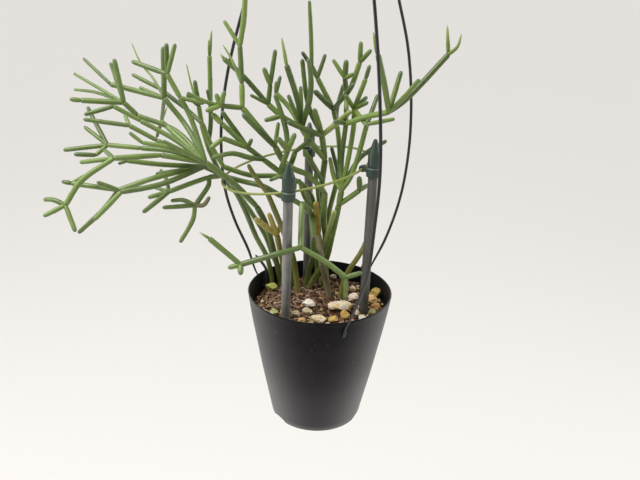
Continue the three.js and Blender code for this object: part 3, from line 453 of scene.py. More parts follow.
def strand(places, radius, step=1.6, closed=False):
    """A wire's centre line as evenly spaced points, with its radius at each point."""
    drawn, lengths = smooth_path(places, closed)
    stations = np.linspace(0, lengths[-1], max(int(lengths[-1] / step), 3) + 1)
    stations = stations[:-1] if closed else stations
    points = at_stations(drawn, lengths, stations)
    return {"points": points, "closed": closed, "radius": np.full(len(stations), float(radius))}


def points_object(name, spots, edges, values):
    """A mesh of bare points and edges, in mm above the rim, with named values at the points."""
    mesh = bpy.data.meshes.new(name)
    mesh.from_pydata([above_rim(*spot) for spot in spots], edges, [])
    for label, numbers in values.items():
        mesh.attributes.new(label, "FLOAT", "POINT").data.foreach_set("value", numbers)
    return linked(name, mesh)


def strands_object(name, strands, labels=()):
    """Bare edges along the strands. The radius and the labelled values become attributes."""
    spots, edges, values = [], [], {label: [] for label in ("radius", *labels)}
    for one in strands:
        start, count = len(spots), len(one["points"])
        spots.extend(one["points"])
        edges.extend((start + i, start + i + 1) for i in range(count - 1))
        if one["closed"]:
            edges.append((start + count - 1, start))
        for label, numbers in values.items():
            unit = MM if label == "radius" else 1
            numbers.extend(np.broadcast_to(one.get(label, 0.0), count) * unit)
    return points_object(name, spots, edges, values)


def geometry_tree(name, **inputs):
    """A Geometry Nodes tree with a geometry input and output, and other inputs of the kinds named."""
    tree = bpy.data.node_groups.new(name, "GeometryNodeTree")
    tree.interface.new_socket("Geometry", in_out="OUTPUT", socket_type="NodeSocketGeometry")
    for label, kind in {"Geometry": "Geometry", **inputs}.items():
        tree.interface.new_socket(label, in_out="INPUT", socket_type="NodeSocket" + kind)
    return tree, put(tree, "NodeGroupInput").outputs


def apply_tree(made, tree, sharp=None, **values):
    """Runs a Geometry Nodes tree on an object, with values for its inputs, and keeps the plain mesh."""
    modifier = made.modifiers.new(tree.name, "NODES")
    modifier.node_group = tree
    for socket in tree.interface.items_tree:
        if socket.in_out == "INPUT" and socket.name in values:
            modifier[socket.identifier] = values[socket.name]
    return finished(made, sharp)


def named_number(tree, label):
    return put(tree, "GeometryNodeInputNamedAttribute", {"Name": label}, data_type="FLOAT").outputs[0]


def changed(tree, kind, geometry, inputs=None, **settings):
    """The geometry that a node makes of another."""
    return put(tree, "GeometryNode" + kind, {0: geometry, **(inputs or {})}, **settings).outputs[0]


def tube_nodes(tree, geometry, sides):
    """Nodes that turn a mesh of edges into closed tubes, as thick as the radius attribute says."""
    curve = changed(tree, "MeshToCurve", geometry)
    section = put(tree, "GeometryNodeCurvePrimitiveCircle", {"Resolution": sides, "Radius": 1.0}).outputs[0]
    inputs = {"Profile Curve": section, "Scale": named_number(tree, "radius"), "Fill Caps": True}
    return curve, changed(tree, "CurveToMesh", curve, inputs)


def give_out(tree, geometry, coat):
    """Ends a tree with its geometry, all in one coat."""
    solid = changed(tree, "RealizeInstances", geometry)
    put(tree, "NodeGroupOutput", {0: changed(tree, "SetMaterial", solid, {"Material": coat})})


# Every wire is drawn with one tree: the tube, shaded smooth, in its coat.
wire_tree, into = geometry_tree("coated_wire", Sides="Int", Coat="Material")
_, tube = tube_nodes(wire_tree, into["Geometry"], into["Sides"])
give_out(wire_tree, changed(wire_tree, "SetShadeSmooth", tube), into["Coat"])


def wires(name, strands, coat, sides=WIRE_SIDES, labels=()):
    """One mesh of round wires along strands, in one coat."""
    return apply_tree(strands_object(name, strands, labels), wire_tree, Sides=sides, Coat=coat)


black_coat = plastic("hanger_coat", (0.011, 0.011, 0.013), (0.018, 0.018, 0.02), 0.36, 0.25, 0.35)


def eased_end(one, length, at_end=True):
    """Rounds off the last stretch of a strand, or the first."""
    points = one["points"] if at_end else one["points"][::-1]
    steps = np.linalg.norm(np.diff(points, axis=0), axis=1)
    left = np.concatenate([np.cumsum(steps[::-1])[::-1], [0]])
    ease = np.sqrt(1 - (1 - np.clip(left / length, 0.04, 1)) ** 2)
    one["radius"] = one["radius"] * (ease if at_end else ease[::-1])
    return one


for name in LEGS:
    bow = strand(bow_places(name), HANGER_WIRE / 2)
    bow["radius"] = bow["radius"] * np.interp(np.arange(len(bow["radius"])), (0, 20), (0.5, 1))
    hooked = strand(hooked_places(name)[:6 if name == "front" else None], HANGER_WIRE / 2, 0.8)
    strands = [eased_end(bow, 1.4, at_end=False), eased_end(eased_end(hooked, 3.5), 1.4, at_end=False)]
    stand_for(wires(f"wire_leg_{name}", strands, black_coat), f"hanger_leg_{name}")

centre = HOOK_TOP - HOOK_RADIUS + HOOK_WIRE / 2
bent = [(0, 0, COLLAR_HIGH - 4), (0, 0, COLLAR_HIGH + 3)]
for degrees in range(-60, 201, 26):
    turn = math.radians(degrees)
    bent.append((-HOOK_RADIUS * math.cos(turn), 0, centre + HOOK_RADIUS * math.sin(turn)))
bent_wire = eased_end(strand(bent, HOOK_WIRE / 2, 1.0), 1.5)
hook = wires("bent_hook", [bent_wire], black_coat)
shape = bmesh.new()
lathe(shape, [
    (0, COLLAR_LOW), *((COLLAR_RADIUS - inset, COLLAR_LOW + rise) for inset, rise in (
        (1.2, 0), (0.5, 0.4), (0, 1.4), (0, 4), (0.4, 4.4), (0.4, 5.2), (0, 5.6))),
    (COLLAR_RADIUS, COLLAR_HIGH - 4), (COLLAR_RADIUS - 0.6, COLLAR_HIGH - 3), (3.6, COLLAR_HIGH),
    (2.4, COLLAR_HIGH + 1.6), (1.6, COLLAR_HIGH + 2), (0, COLLAR_HIGH + 2),
], 48)
collar = to_object("collar", shape, 40, black_coat)


def joined_pieces(name, pieces):
    """One mesh object from several, which keep their materials."""
    with bpy.context.temp_override(active_object=pieces[0], selected_editable_objects=pieces):
        bpy.ops.object.join()
    pieces[0].name = name
    return pieces[0]


stand_for(joined_pieces("top_hook", [hook, collar]), "hanger_hook")

# Stakes. Three round plastic rods, dull grey with a green cast, pushed down into the soil. The
# extruded skin shows soft stripes along the rod. The right and back rods are darker: painted shade.
STAKE_RADIUS = 3.7
CAP_OVERLAP = 5
STAKES = {                # each stake's low and high end
    "front": ((-27.2, -23.7, -75), (-25.7, -44, 93)),
    "right": ((36.1, -15.6, -75), (37.1, -15.2, 104.3)),
    "back": ((-11, 38, -75), (-13.8, 60.5, 97)),
}


def stake_finish(name, low, high):
    """Extruded grey plastic with soft stripes between two greys."""
    material, tree, shader = new_material(name)
    stripes = noise_value(tree, drawn_out(tree, object_place(tree), (330, 330, 7)), 1, 2, 0.5)
    wear = worn(tree, 0.5, 0.35)
    striped = mix(tree, band(tree, stripes, 0.3, 0.72), low, high)
    clouded = mix(tree, band(tree, wear["Cloud"], 0.4, 0.8), striped, tuple(c * 1.15 for c in high))
    feed(shader, {
        "Base Color": mix(tree, wear["Dust"], clouded, (0.13, 0.1, 0.06)), "Normal": wear["Normal"],
        "Roughness": math_node(tree, "MULTIPLY_ADD", stripes, 0.2, 0.42),
    })
    return material


stake_grey = stake_finish("stake_grey", (0.118, 0.117, 0.109), (0.22, 0.218, 0.203))
# The right and back stakes take a darker copy of the grey: painted shade.
stake_painted_shade = stake_finish("stake_painted_shade", (0.046, 0.045, 0.039), (0.1, 0.098, 0.085))
for name, ends in STAKES.items():
    low, high = map(Vector, ends)
    length = (high - low).length + CAP_OVERLAP
    shape = bmesh.new()
    lathe(shape, [
        (0, 0), (1.6, 0), (2, 0.4), (STAKE_RADIUS, 5),
        *((STAKE_RADIUS, float(z)) for z in np.linspace(8, length, 24)), (0, length),
    ], 36, low, (high - low).to_track_quat("Z", "Y"))
    made = to_object(f"rod_{name}", shape, 30, stake_grey if name == "front" else stake_painted_shade)
    stand_for(made, f"stake_{name}")

# Ring and caps. One oval hoop of thin wire with a yellow-green coat runs through a C-shaped clip on
# each cap. A cap is moulded in dark blue-green plastic: a thicker collar, a groove, a sleeve, a cone.
RING_WIDE, RING_DEEP, RING_WIRE = 58.3, 45.7, 1.9
RING_RISE, RING_LEAN = 0.193, 0.085
RING_CENTRE = Vector((-22.9, 8.2, 101.2))
RING_PLACES = 24
CAP_RADIUS = 4.8
CAP_LENGTH = 29.3
CLIP_LENGTH = 4.6         # along the ring
CLIP_HOLE = RING_WIRE / 2 + 0.15
JAW = CLIP_HOLE + 1.5     # the clip's outer radius round the wire


def ring_place(turn):
    x, y = RING_WIDE * math.cos(turn), RING_DEEP * math.sin(turn)
    return Vector((x, y, x * RING_RISE + y * RING_LEAN)) + RING_CENTRE


def clip_places(low, high):
    """Where a cap's clip starts on its axis, and the ring's place that it holds."""
    low, high = Vector(low), Vector(high)
    along = (high - low).normalized()
    places = [ring_place(math.radians(degree)) for degree in range(360)]
    on_ring = min(places, key=lambda spot: (spot - high).length)
    return high + along * ((on_ring.z - high.z) / along.z), on_ring


def arc(x, z, radius, start, end, count):
    turns = np.radians(np.linspace(start, end, count))
    return [(x + radius * math.cos(turn), z + radius * math.sin(turn)) for turn in turns]


def clip_outline(reach):
    """The clip's C in profile: an arm from the cap, and two rounded jaws that are open outward."""
    points = [
        (-reach, -2.1), (-JAW, -2.3), *arc(0, 0, JAW, -135, -42, 8), *arc(2.35, -1.25, 0.5, -60, 150, 6),
        *arc(0, 0, CLIP_HOLE, -50, -180, 10),
    ]
    return points + [(x, -z) for x, z in points[::-1]]


ring_coat = plastic("ring_coat", (0.21, 0.25, 0.05), (0.29, 0.33, 0.085), 0.42, 0.3, 0.5)
turns = [2 * math.pi * i / RING_PLACES for i in range(RING_PLACES)]
ring_line = strand([ring_place(turn) for turn in turns], RING_WIRE / 2, 2.0, closed=True)
stand_for(wires("wire_ring", [ring_line], ring_coat), "support_ring")

cap_green = plastic("cap_blue_green", (0.018, 0.037, 0.026), (0.029, 0.054, 0.039), 0.42, 0.4, 0.8)
# A thin paler band round the top edge of each cap's collar is a painted highlight, where that edge catches
# the light.
cap_painted_highlight = plastic("cap_painted_highlight_edge", (0.09, 0.14, 0.1), (0.12, 0.17, 0.12), 0.4, 0.4, 0.5)
for name, ends in STAKES.items():
    low, high = map(Vector, ends)
    along, upright = (high - low).normalized(), (high - low).to_track_quat("Z", "Y")
    shape = bmesh.new()
    lathe(shape, [
        (0, 4), (STAKE_RADIUS + 0.25, 4), (STAKE_RADIUS + 0.25, 0.2), (STAKE_RADIUS + 0.5, 0),
        *((CAP_RADIUS + extra, z) for extra, z in (
            (0.1, 0), (0.45, 0.4), (0.6, 1.1), (0.6, 6.4), (0.45, 6.8), (0.2, 7), (-0.3, 7.4), (-0.4, 7.9),
            (-0.2, 8.5), (0, 9), (0, 17.8), (-0.12, 18.5), (-0.5, 19.4))),
        (1.5, CAP_LENGTH - 1), (1.0, CAP_LENGTH - 0.35), (0.5, CAP_LENGTH - 0.08), (0, CAP_LENGTH),
    ], 40, high, upright)
    on_axis, on_ring = clip_places(low, high)
    outward = (on_ring - on_axis).normalized()
    upward = (along - outward * along.dot(outward)).normalized()
    sideways = upward.cross(outward) * CLIP_LENGTH
    outline = clip_outline((on_ring - on_axis).length - CAP_RADIUS + 0.8)
    rows = [[
        shape.verts.new(on_ring + outward * x * (1 - inset / 2) + upward * z * (1 - inset) + sideways * shift)
        for x, z in outline
    ] for shift, inset in ((-0.5, 0.042), (-0.42, 0), (0.42, 0), (0.5, 0.042))]
    count = len(outline)
    for one, two in zip(rows, rows[1:]):
        for i in range(count):
            shape.faces.new((one[i - 1], one[i], two[i], two[i - 1]))
    for row in (rows[0], rows[-1]):
        for i in range(count // 2 - 1):
            shape.faces.new((row[i], row[i + 1], row[count - 2 - i], row[count - 1 - i]))
    cap = to_object("cap", shape, 32, cap_green)
    # The painted highlight: a thin paler band round the collar's top edge.
    shape = bmesh.new()
    lathe(shape, [(CAP_RADIUS + extra, z) for extra, z in (
        (0, 6.5), (0.56, 6.45), (0.6, 6.65), (0.45, 6.95), (0.2, 7.1), (0, 6.5))], 40, high, upright)
    edge = to_object("edge", shape, coat=cap_painted_highlight)
    stand_for(joined_pieces(f"cone_cap_{name}", [cap, edge]), f"stake_cap_{name}")

# Soil. One body of damp bark, fibre and fine gravel that fills the pot to just under the rim. Only
# its top shows: reddish-brown chips, pale curled fibres, and grit that gathers by the rim.
SOIL_LEVEL = -14          # mm above the rim
SOIL_EDGE = 56.2
SOIL_RINGS, SOIL_SPOKES = 44, 150
WEAR_SCALE = 300.0        # how fine the wear of a block's faces is
BLOCK_TILT = 0.6          # the most that a block leans, in radians
GRIT_FREE, GRIT_THIN = 32, 0.3  # the middle's radius in mm, and the share of its grit that stays
FIBRES, LONG_FIBRES = 340, 110
FIBRE_STEP = 1.1          # mm from one place of a fibre to the next


def soil_height(x, y):
    """The mound's height at a place, in mm above the rim."""
    away = math.hypot(x, y)
    low = float(np.interp(away, (0, 49, 56), (SOIL_LEVEL + 1.4, SOIL_LEVEL + 0.5, SOIL_LEVEL - 1.3)))
    rough = noise.fractal(Vector((x, y, 3)) * 0.16, 0.8, 2.2, 4) * 1.1
    return low - 0.6 + min(rough, 0.5)


def soil_place(draw, outer, side=0.0):
    """A random place on the mound. Side leans the choice toward the front and the right."""
    while True:
        x, y = (draw.uniform(-outer, outer) for _ in range(2))
        if math.hypot(x, y) <= outer and draw.random() < 1 + side * ((x - y) / (1.6 * outer) - 1) / 2:
            return x, y


shape = bmesh.new()
loft(shape, [
    [(0, 0, soil_height(0, 0))],
    *([(x, y, soil_height(x, y)) for x, y, _ in circle(SOIL_EDGE * ring / SOIL_RINGS, SOIL_SPOKES, 0)]
      for ring in range(1, SOIL_RINGS + 1)),
    circle(wall_radius(-70) - WALL - 0.3, SOIL_SPOKES, -70),
    circle(wall_radius(FLOOR_TOP) - WALL - 1, SOIL_SPOKES, FLOOR_TOP + 0.4),
    [(0, 0, FLOOR_TOP + 0.4)],
])
mound = to_object("mound", shape)


def random_number(tree, low, high, seed):
    return put(tree, "FunctionNodeRandomValue", {2: low, 3: high, "Seed": seed}, data_type="FLOAT").outputs[1]


def vector_math(tree, operation, vector, inputs):
    return put(tree, "ShaderNodeVectorMath", {0: vector, **inputs}, operation=operation).outputs[0]


# Chips and grit are small blocks with a random tint, scattered over points and worn by noise.
scatter_tree, into = geometry_tree("scattered_blocks", Size="Vector", Wear="Float", Finish="Material")
tree = scatter_tree
block = put(tree, "GeometryNodeMeshCube", {
    "Size": into["Size"], "Vertices X": 3, "Vertices Y": 3, "Vertices Z": 2})
turned = put(tree, "ShaderNodeCombineXYZ", {
    "X": random_number(tree, -BLOCK_TILT, BLOCK_TILT, 11),
    "Y": random_number(tree, -BLOCK_TILT, BLOCK_TILT, 12), "Z": random_number(tree, 0.0, 2 * math.pi, 1),
}).outputs[0]
blocks = changed(tree, "InstanceOnPoints", into["Geometry"], {
    "Instance": block.outputs[0], "Rotation": turned, "Scale": named_number(tree, "radius")})
tint = {"Name": "tone", "Value": random_number(tree, 0.0, 1.0, 5)}
tinted = changed(tree, "StoreNamedAttribute", blocks, tint, data_type="FLOAT", domain="INSTANCE")
wear = put(tree, "ShaderNodeTexNoise", {"Scale": WEAR_SCALE, "Detail": 1.0}).outputs[1]
wear = vector_math(tree, "SUBTRACT", wear, {1: (0.5, 0.5, 0.5)})
wear = vector_math(tree, "SCALE", wear, {"Scale": into["Wear"]})
solid = changed(tree, "RealizeInstances", tinted)
give_out(tree, changed(tree, "SetPosition", solid, {"Offset": wear}), into["Finish"])


def named_value(tree, label):
    return put(tree, "ShaderNodeAttribute", attribute_name=label).outputs["Fac"]


def earthy(name, colours, scale, rough=0.9, depth=0.0006):
    """A loose natural material: each block's own tint from a ramp of colours, with grain inside it."""
    material, tree, shader = new_material(name)
    grain = noise_value(tree, object_place(tree), scale, 4, 0.7)
    lighter = math_node(tree, "MULTIPLY_ADD", grain, 0.5, -0.25)
    value = math_node(tree, "ADD", named_value(tree, "tone"), lighter)
    ramp = put(tree, "ShaderNodeValToRGB", {"Fac": value})
    steps = ramp.color_ramp.elements
    for i in range(1, len(colours) - 1):
        steps.new(i / (len(colours) - 1))
    for step, colour in zip(steps, colours):
        step.color = (*colour, 1)
    feed(shader, {
        "Base Color": ramp.outputs[0], "Normal": bumped(tree, grain, 0.7, depth), "Roughness": rough,
        "Specular IOR Level": 0.3,
    })
    return material


peat = earthy("dark_peat", [
    (0.014, 0.008, 0.005), (0.035, 0.018, 0.01), (0.07, 0.035, 0.018)], 700, 0.95, 0.0012)
chips = earthy("bark_chips", [
    (0.016, 0.008, 0.005), (0.055, 0.024, 0.013), (0.13, 0.06, 0.031), (0.33, 0.19, 0.11)], 500)
grit = earthy("fine_grit", [
    (0.30, 0.27, 0.11), (0.6, 0.42, 0.16), (0.5, 0.27, 0.1), (0.68, 0.6, 0.42), (0.4, 0.36, 0.14)], 500)
fibre = earthy("pale_fibre", [(0.12, 0.06, 0.035), (0.36, 0.23, 0.14), (0.64, 0.52, 0.38)], 900)
mound.data.materials.append(peat)
tones = mound.data.attributes.new("tone", "FLOAT", "POINT").data
tones.foreach_set("value", [0.35] * len(tones))

draw = random.Random(7)
pieces = [mound]
for name, count, reach, side, size, wear, spread, coat in (
    ("long_chips", 800, SOIL_EDGE - 3.5, 0, (0.0056, 0.0019, 0.0012), 0.0012, (0.6, 1.4), chips),
    ("small_chips", 1500, SOIL_EDGE - 2, 0, (0.0024, 0.0015, 0.001), 0.0007, (0.5, 1.3), chips),
    ("grit", 430, SOIL_EDGE - 1.8, 1, (0.0017, 0.0015, 0.0013), 0.0006, (0.6, 1.7), grit),
    ("pebbles", 95, SOIL_EDGE - 2.6, 1.6, (0.0034, 0.0029, 0.0026), 0.0014, (0.7, 1.25), grit),
):
    flat = [soil_place(draw, reach, side) for _ in range(count)]
    if coat is grit:
        flat = [spot for spot in flat if math.hypot(*spot) > GRIT_FREE or draw.random() < GRIT_THIN]
    places = [(x, y, soil_height(x, y) + draw.uniform(-0.5, 0.6)) for x, y in flat]
    scattered = points_object(name, places, [], {"radius": [draw.uniform(*spread) for _ in places]})
    pieces.append(apply_tree(scattered, scatter_tree, 30, Finish=coat, Wear=wear, Size=size))

fibres = []
for number in range(FIBRES):
    x, y = soil_place(draw, SOIL_EDGE - 8)
    way = draw.uniform(0, 2 * math.pi)
    long = number < LONG_FIBRES
    x = -abs(x) if long and number % 3 else x
    lift = 1.1 if long else 0.6
    curl = draw.uniform(-0.14, 0.14) if long else draw.uniform(-0.55, 0.55)
    line = []
    for step in range(draw.randint(12, 20) if long else draw.randint(5, 11)):
        line.append((x, y, min(soil_height(x, y) + lift + draw.uniform(-0.3, 0.4), SOIL_LEVEL + 2.2)))
        way += curl + draw.uniform(-0.25, 0.25)
        x, y = x + FIBRE_STEP * math.cos(way), y + FIBRE_STEP * math.sin(way)
        if math.hypot(x, y) > SOIL_EDGE - 3:
            break
    if len(line) > 3:
        thick = draw.uniform(0.26, 0.46) if long else draw.uniform(0.12, 0.24)
        fibres.append({**strand(line, thick, 1.2), "tone": draw.random()})
pieces.append(wires("fibres", fibres, fibre, 5, ["tone"]))
stand_for(joined_pieces("loose_soil", pieces), "soil")

# Stones. Each piece of pumice or gravel lies loose on the soil. They are worn, pitted lumps in
# cream, white, yellow, orange and dull green, most with a stain or a dusty side.
STONE_WEAR = 0.06         # how far a stone's face is worn in, as a share of its size
BREAKS = 11               # flat faces that a stone broke along
BREAK_NEAR, BREAK_FAR = 0.6, 0.86  # how near its middle they are, in half widths
BREAK_CUT = 0.92          # the share of what stands out past a face that is gone
STONE_FIT = 0.99          # how much of the CAD stone's box it fills, each way
STONES = [                # slot, finish, its colours, the stained share, and the stones
    ("stone_green", "green_gravel", (0.28, 0.26, 0.11), (0.2, 0.19, 0.08), (0.08, 0.07, 0.03), 0.5,
     ["olive"]),
    ("stone_green", "bright_green_gravel", (0.58, 0.56, 0.17), (0.38, 0.4, 0.08), (0.12, 0.13, 0.04), 0.5,
     ["green_left"]),
    ("stone_green", "pale_green_gravel", (0.52, 0.52, 0.3), (0.3, 0.33, 0.1), (0.12, 0.12, 0.05), 0.5,
     ["green_front"]),
    ("stone_white", "white_pumice", (0.74, 0.69, 0.58), (0.6, 0.52, 0.38), (0.22, 0.15, 0.08), 0.35,
     ["white", "white_small"]),
    ("stone_cream", "cream_pumice", (0.66, 0.56, 0.38), (0.56, 0.42, 0.17), (0.2, 0.12, 0.05), 0.42,
     ["cream_left", "cream", "cream_long", "cream_right", "tan_back"]),
    ("stone_cream", "pitted_pumice", (0.7, 0.61, 0.47), (0.62, 0.36, 0.06), (0.1, 0.06, 0.03), 0.44,
     ["cream_large"]),
    ("stone_cream", "pink_pumice", (0.66, 0.52, 0.44), (0.72, 0.63, 0.52), (0.25, 0.13, 0.09), 0.5,
     ["pink"]),
    ("stone_cream", "grey_gravel", (0.36, 0.33, 0.26), (0.27, 0.24, 0.17), (0.1, 0.08, 0.05), 0.5,
     ["grey_back"]),
    ("stone_yellow", "yellow_pumice", (0.58, 0.42, 0.12), (0.46, 0.27, 0.07), (0.18, 0.1, 0.03), 0.5,
     ["yellow_front", "yellow", "yellow_right"]),
    ("stone_orange", "orange_gravel", (0.52, 0.29, 0.1), (0.62, 0.42, 0.2), (0.16, 0.07, 0.03), 0.5,
     ["orange", "orange_right", "amber_right", "amber_back"]),
]


def stone_finish(name, base, stain, dark, stained):
    """Pitted pumice: a base colour with stained patches, dark pits and a fine grain."""
    material, tree, shader = new_material(name)
    place = object_place(tree)
    patch = noise_value(tree, place, 190, 3, 0.6)
    grain = noise_value(tree, place, 900, 4, 0.7)
    pit = math_node(tree, "SUBTRACT", 1, band(tree, cells(tree, place, 620), 0.12, 0.34))
    pit = times(tree, pit, band(tree, grain, 0.42, 0.6))
    lighter = tuple(min(c * 1.25, 0.9) for c in base)
    colour = mix(tree, band(tree, patch, 1 - stained - 0.12, 1 - stained + 0.12), base, stain)
    colour = mix(tree, times(tree, band(tree, grain, 0.3, 0.7), 0.4), colour, lighter)
    height = math_node(tree, "SUBTRACT", times(tree, grain, 0.6), pit)
    feed(shader, {
        "Base Color": mix(tree, times(tree, pit, 0.75), colour, dark),
        "Normal": bumped(tree, height, 0.8, 0.0007), "Roughness": 0.85, "Specular IOR Level": 0.35,
    })
    return material


def worn_stone(node, label):
    """A finer lump in a CAD stone's place, broken along flat faces and worn, within the same box."""
    low, high = (np.array(corner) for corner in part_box(node))
    shape = bmesh.new()
    shape.from_mesh(bpy.data.objects[node].data)
    bmesh.ops.transform(shape, matrix=bpy.data.objects[node].matrix_world, verts=shape.verts)
    bmesh.ops.remove_doubles(shape, verts=shape.verts, dist=1e-5)
    bmesh.ops.subdivide_edges(shape, edges=shape.edges, cuts=2, use_grid_fill=True, smooth=0.35)
    bmesh.ops.triangulate(shape, faces=[face for face in shape.faces if len(face.verts) > 4])
    all_axes = {"use_axis_x": True, "use_axis_y": True, "use_axis_z": True}
    bmesh.ops.smooth_vert(shape, verts=shape.verts, factor=0.5, **all_axes)
    bmesh.ops.subdivide_edges(shape, edges=shape.edges, cuts=1, use_grid_fill=True)
    centre, half, draw = (low + high) / 2, (high - low) / 2, random.Random(label)
    span = float((high - low).mean())
    for _ in range(BREAKS):
        way = np.array([draw.gauss(0, 1) for _ in range(3)])
        way /= np.linalg.norm(way)
        face = draw.uniform(BREAK_NEAR, BREAK_FAR)
        for vertex in shape.verts:
            over = float((np.array(vertex.co) - centre) / half @ way) - face
            if over > 0:
                vertex.co -= Vector(way * over * half * BREAK_CUT)
    shape.normal_update()
    spots = []
    for vertex in shape.verts:
        lump = noise.fractal(vertex.co * (2.6 / span), 0.9, 2.1, 4)
        chip = max(noise.noise(vertex.co * (5.5 / span)) - 0.12, 0) * 1.6
        spots.append(vertex.co + vertex.normal * span * STONE_WEAR * (lump - 0.4 - chip))
    spots = np.array(spots)
    share = (spots - spots.min(0)) / (spots.max(0) - spots.min(0))
    for vertex, spot in zip(shape.verts, low + (high - low) * (share * STONE_FIT + (1 - STONE_FIT) / 2)):
        vertex.co = spot
    mesh = bpy.data.meshes.new("lump_" + label)
    shape.to_mesh(mesh)
    shape.free()
    return shown_object("lump_" + label, mesh, 45)


for slot, finish, *colours, stained, labels in STONES:
    stone = stone_finish(finish, *colours, stained)
    for label in labels:
        lump = worn_stone("stone_" + label, label)
        lump.data.materials.append(stone)
        stand_for(lump, "stone_" + label)

# Stems. Each is one plant body: a chain of round, waxy internodes that ends in a scar, where the
# next ones grow in a whorl. Tips are blunt and greyer, and the newest shoots pale and pointed.
EYE = (0.0, -533.0, 263.0)  # where the stems are seen from, in mm above the rim
STEM_CLEAR = 0.8          # mm that stems keep from each other and from what stands still
WIRE_CLEAR = 0.3          # mm more that they keep from the ring, and twice that from the hanger
SINK = 12                 # mm that a stem's foot stands below the soil's surface
BEND_SWEEPS, BEND_STEP = 160, 2  # how often stems are moved apart, and by how many mm at most


class Place:
    """A joint, bend, foot, tip or shoot, where it is seen on the upright plane through the pot's axis."""

    def __init__(self, kind, x, z, near, width, mark="", fixed=None):
        self.kind, self.x, self.z, self.near, self.width, self.mark = kind, x, z, near, width, mark
        self.fixed, self.kids = fixed, []

    def spot(self):
        """Where it is, in mm above the rim."""
        share = self.near / -EYE[1]
        return self.fixed or (self.x - self.x * share, EYE[1] * share, self.z + (EYE[2] - self.z) * share)

    def on_plane(self):
        if not self.fixed:
            return (self.x, 0.0, self.z)
        share = self.near / -EYE[1]
        x, _, z = self.fixed
        return (x / (1 - share), 0.0, (z - EYE[2] * share) / (1 - share))


def foot(x, y, width):
    share = y / EYE[1]
    return Place("foot", x / (1 - share), (SOIL_LEVEL - SINK - EYE[2]) / (1 - share) + EYE[2], -y, width)


j, bend, tip, shoot = (functools.partial(Place, kind) for kind in ("joint", "bend", "tip", "shoot"))

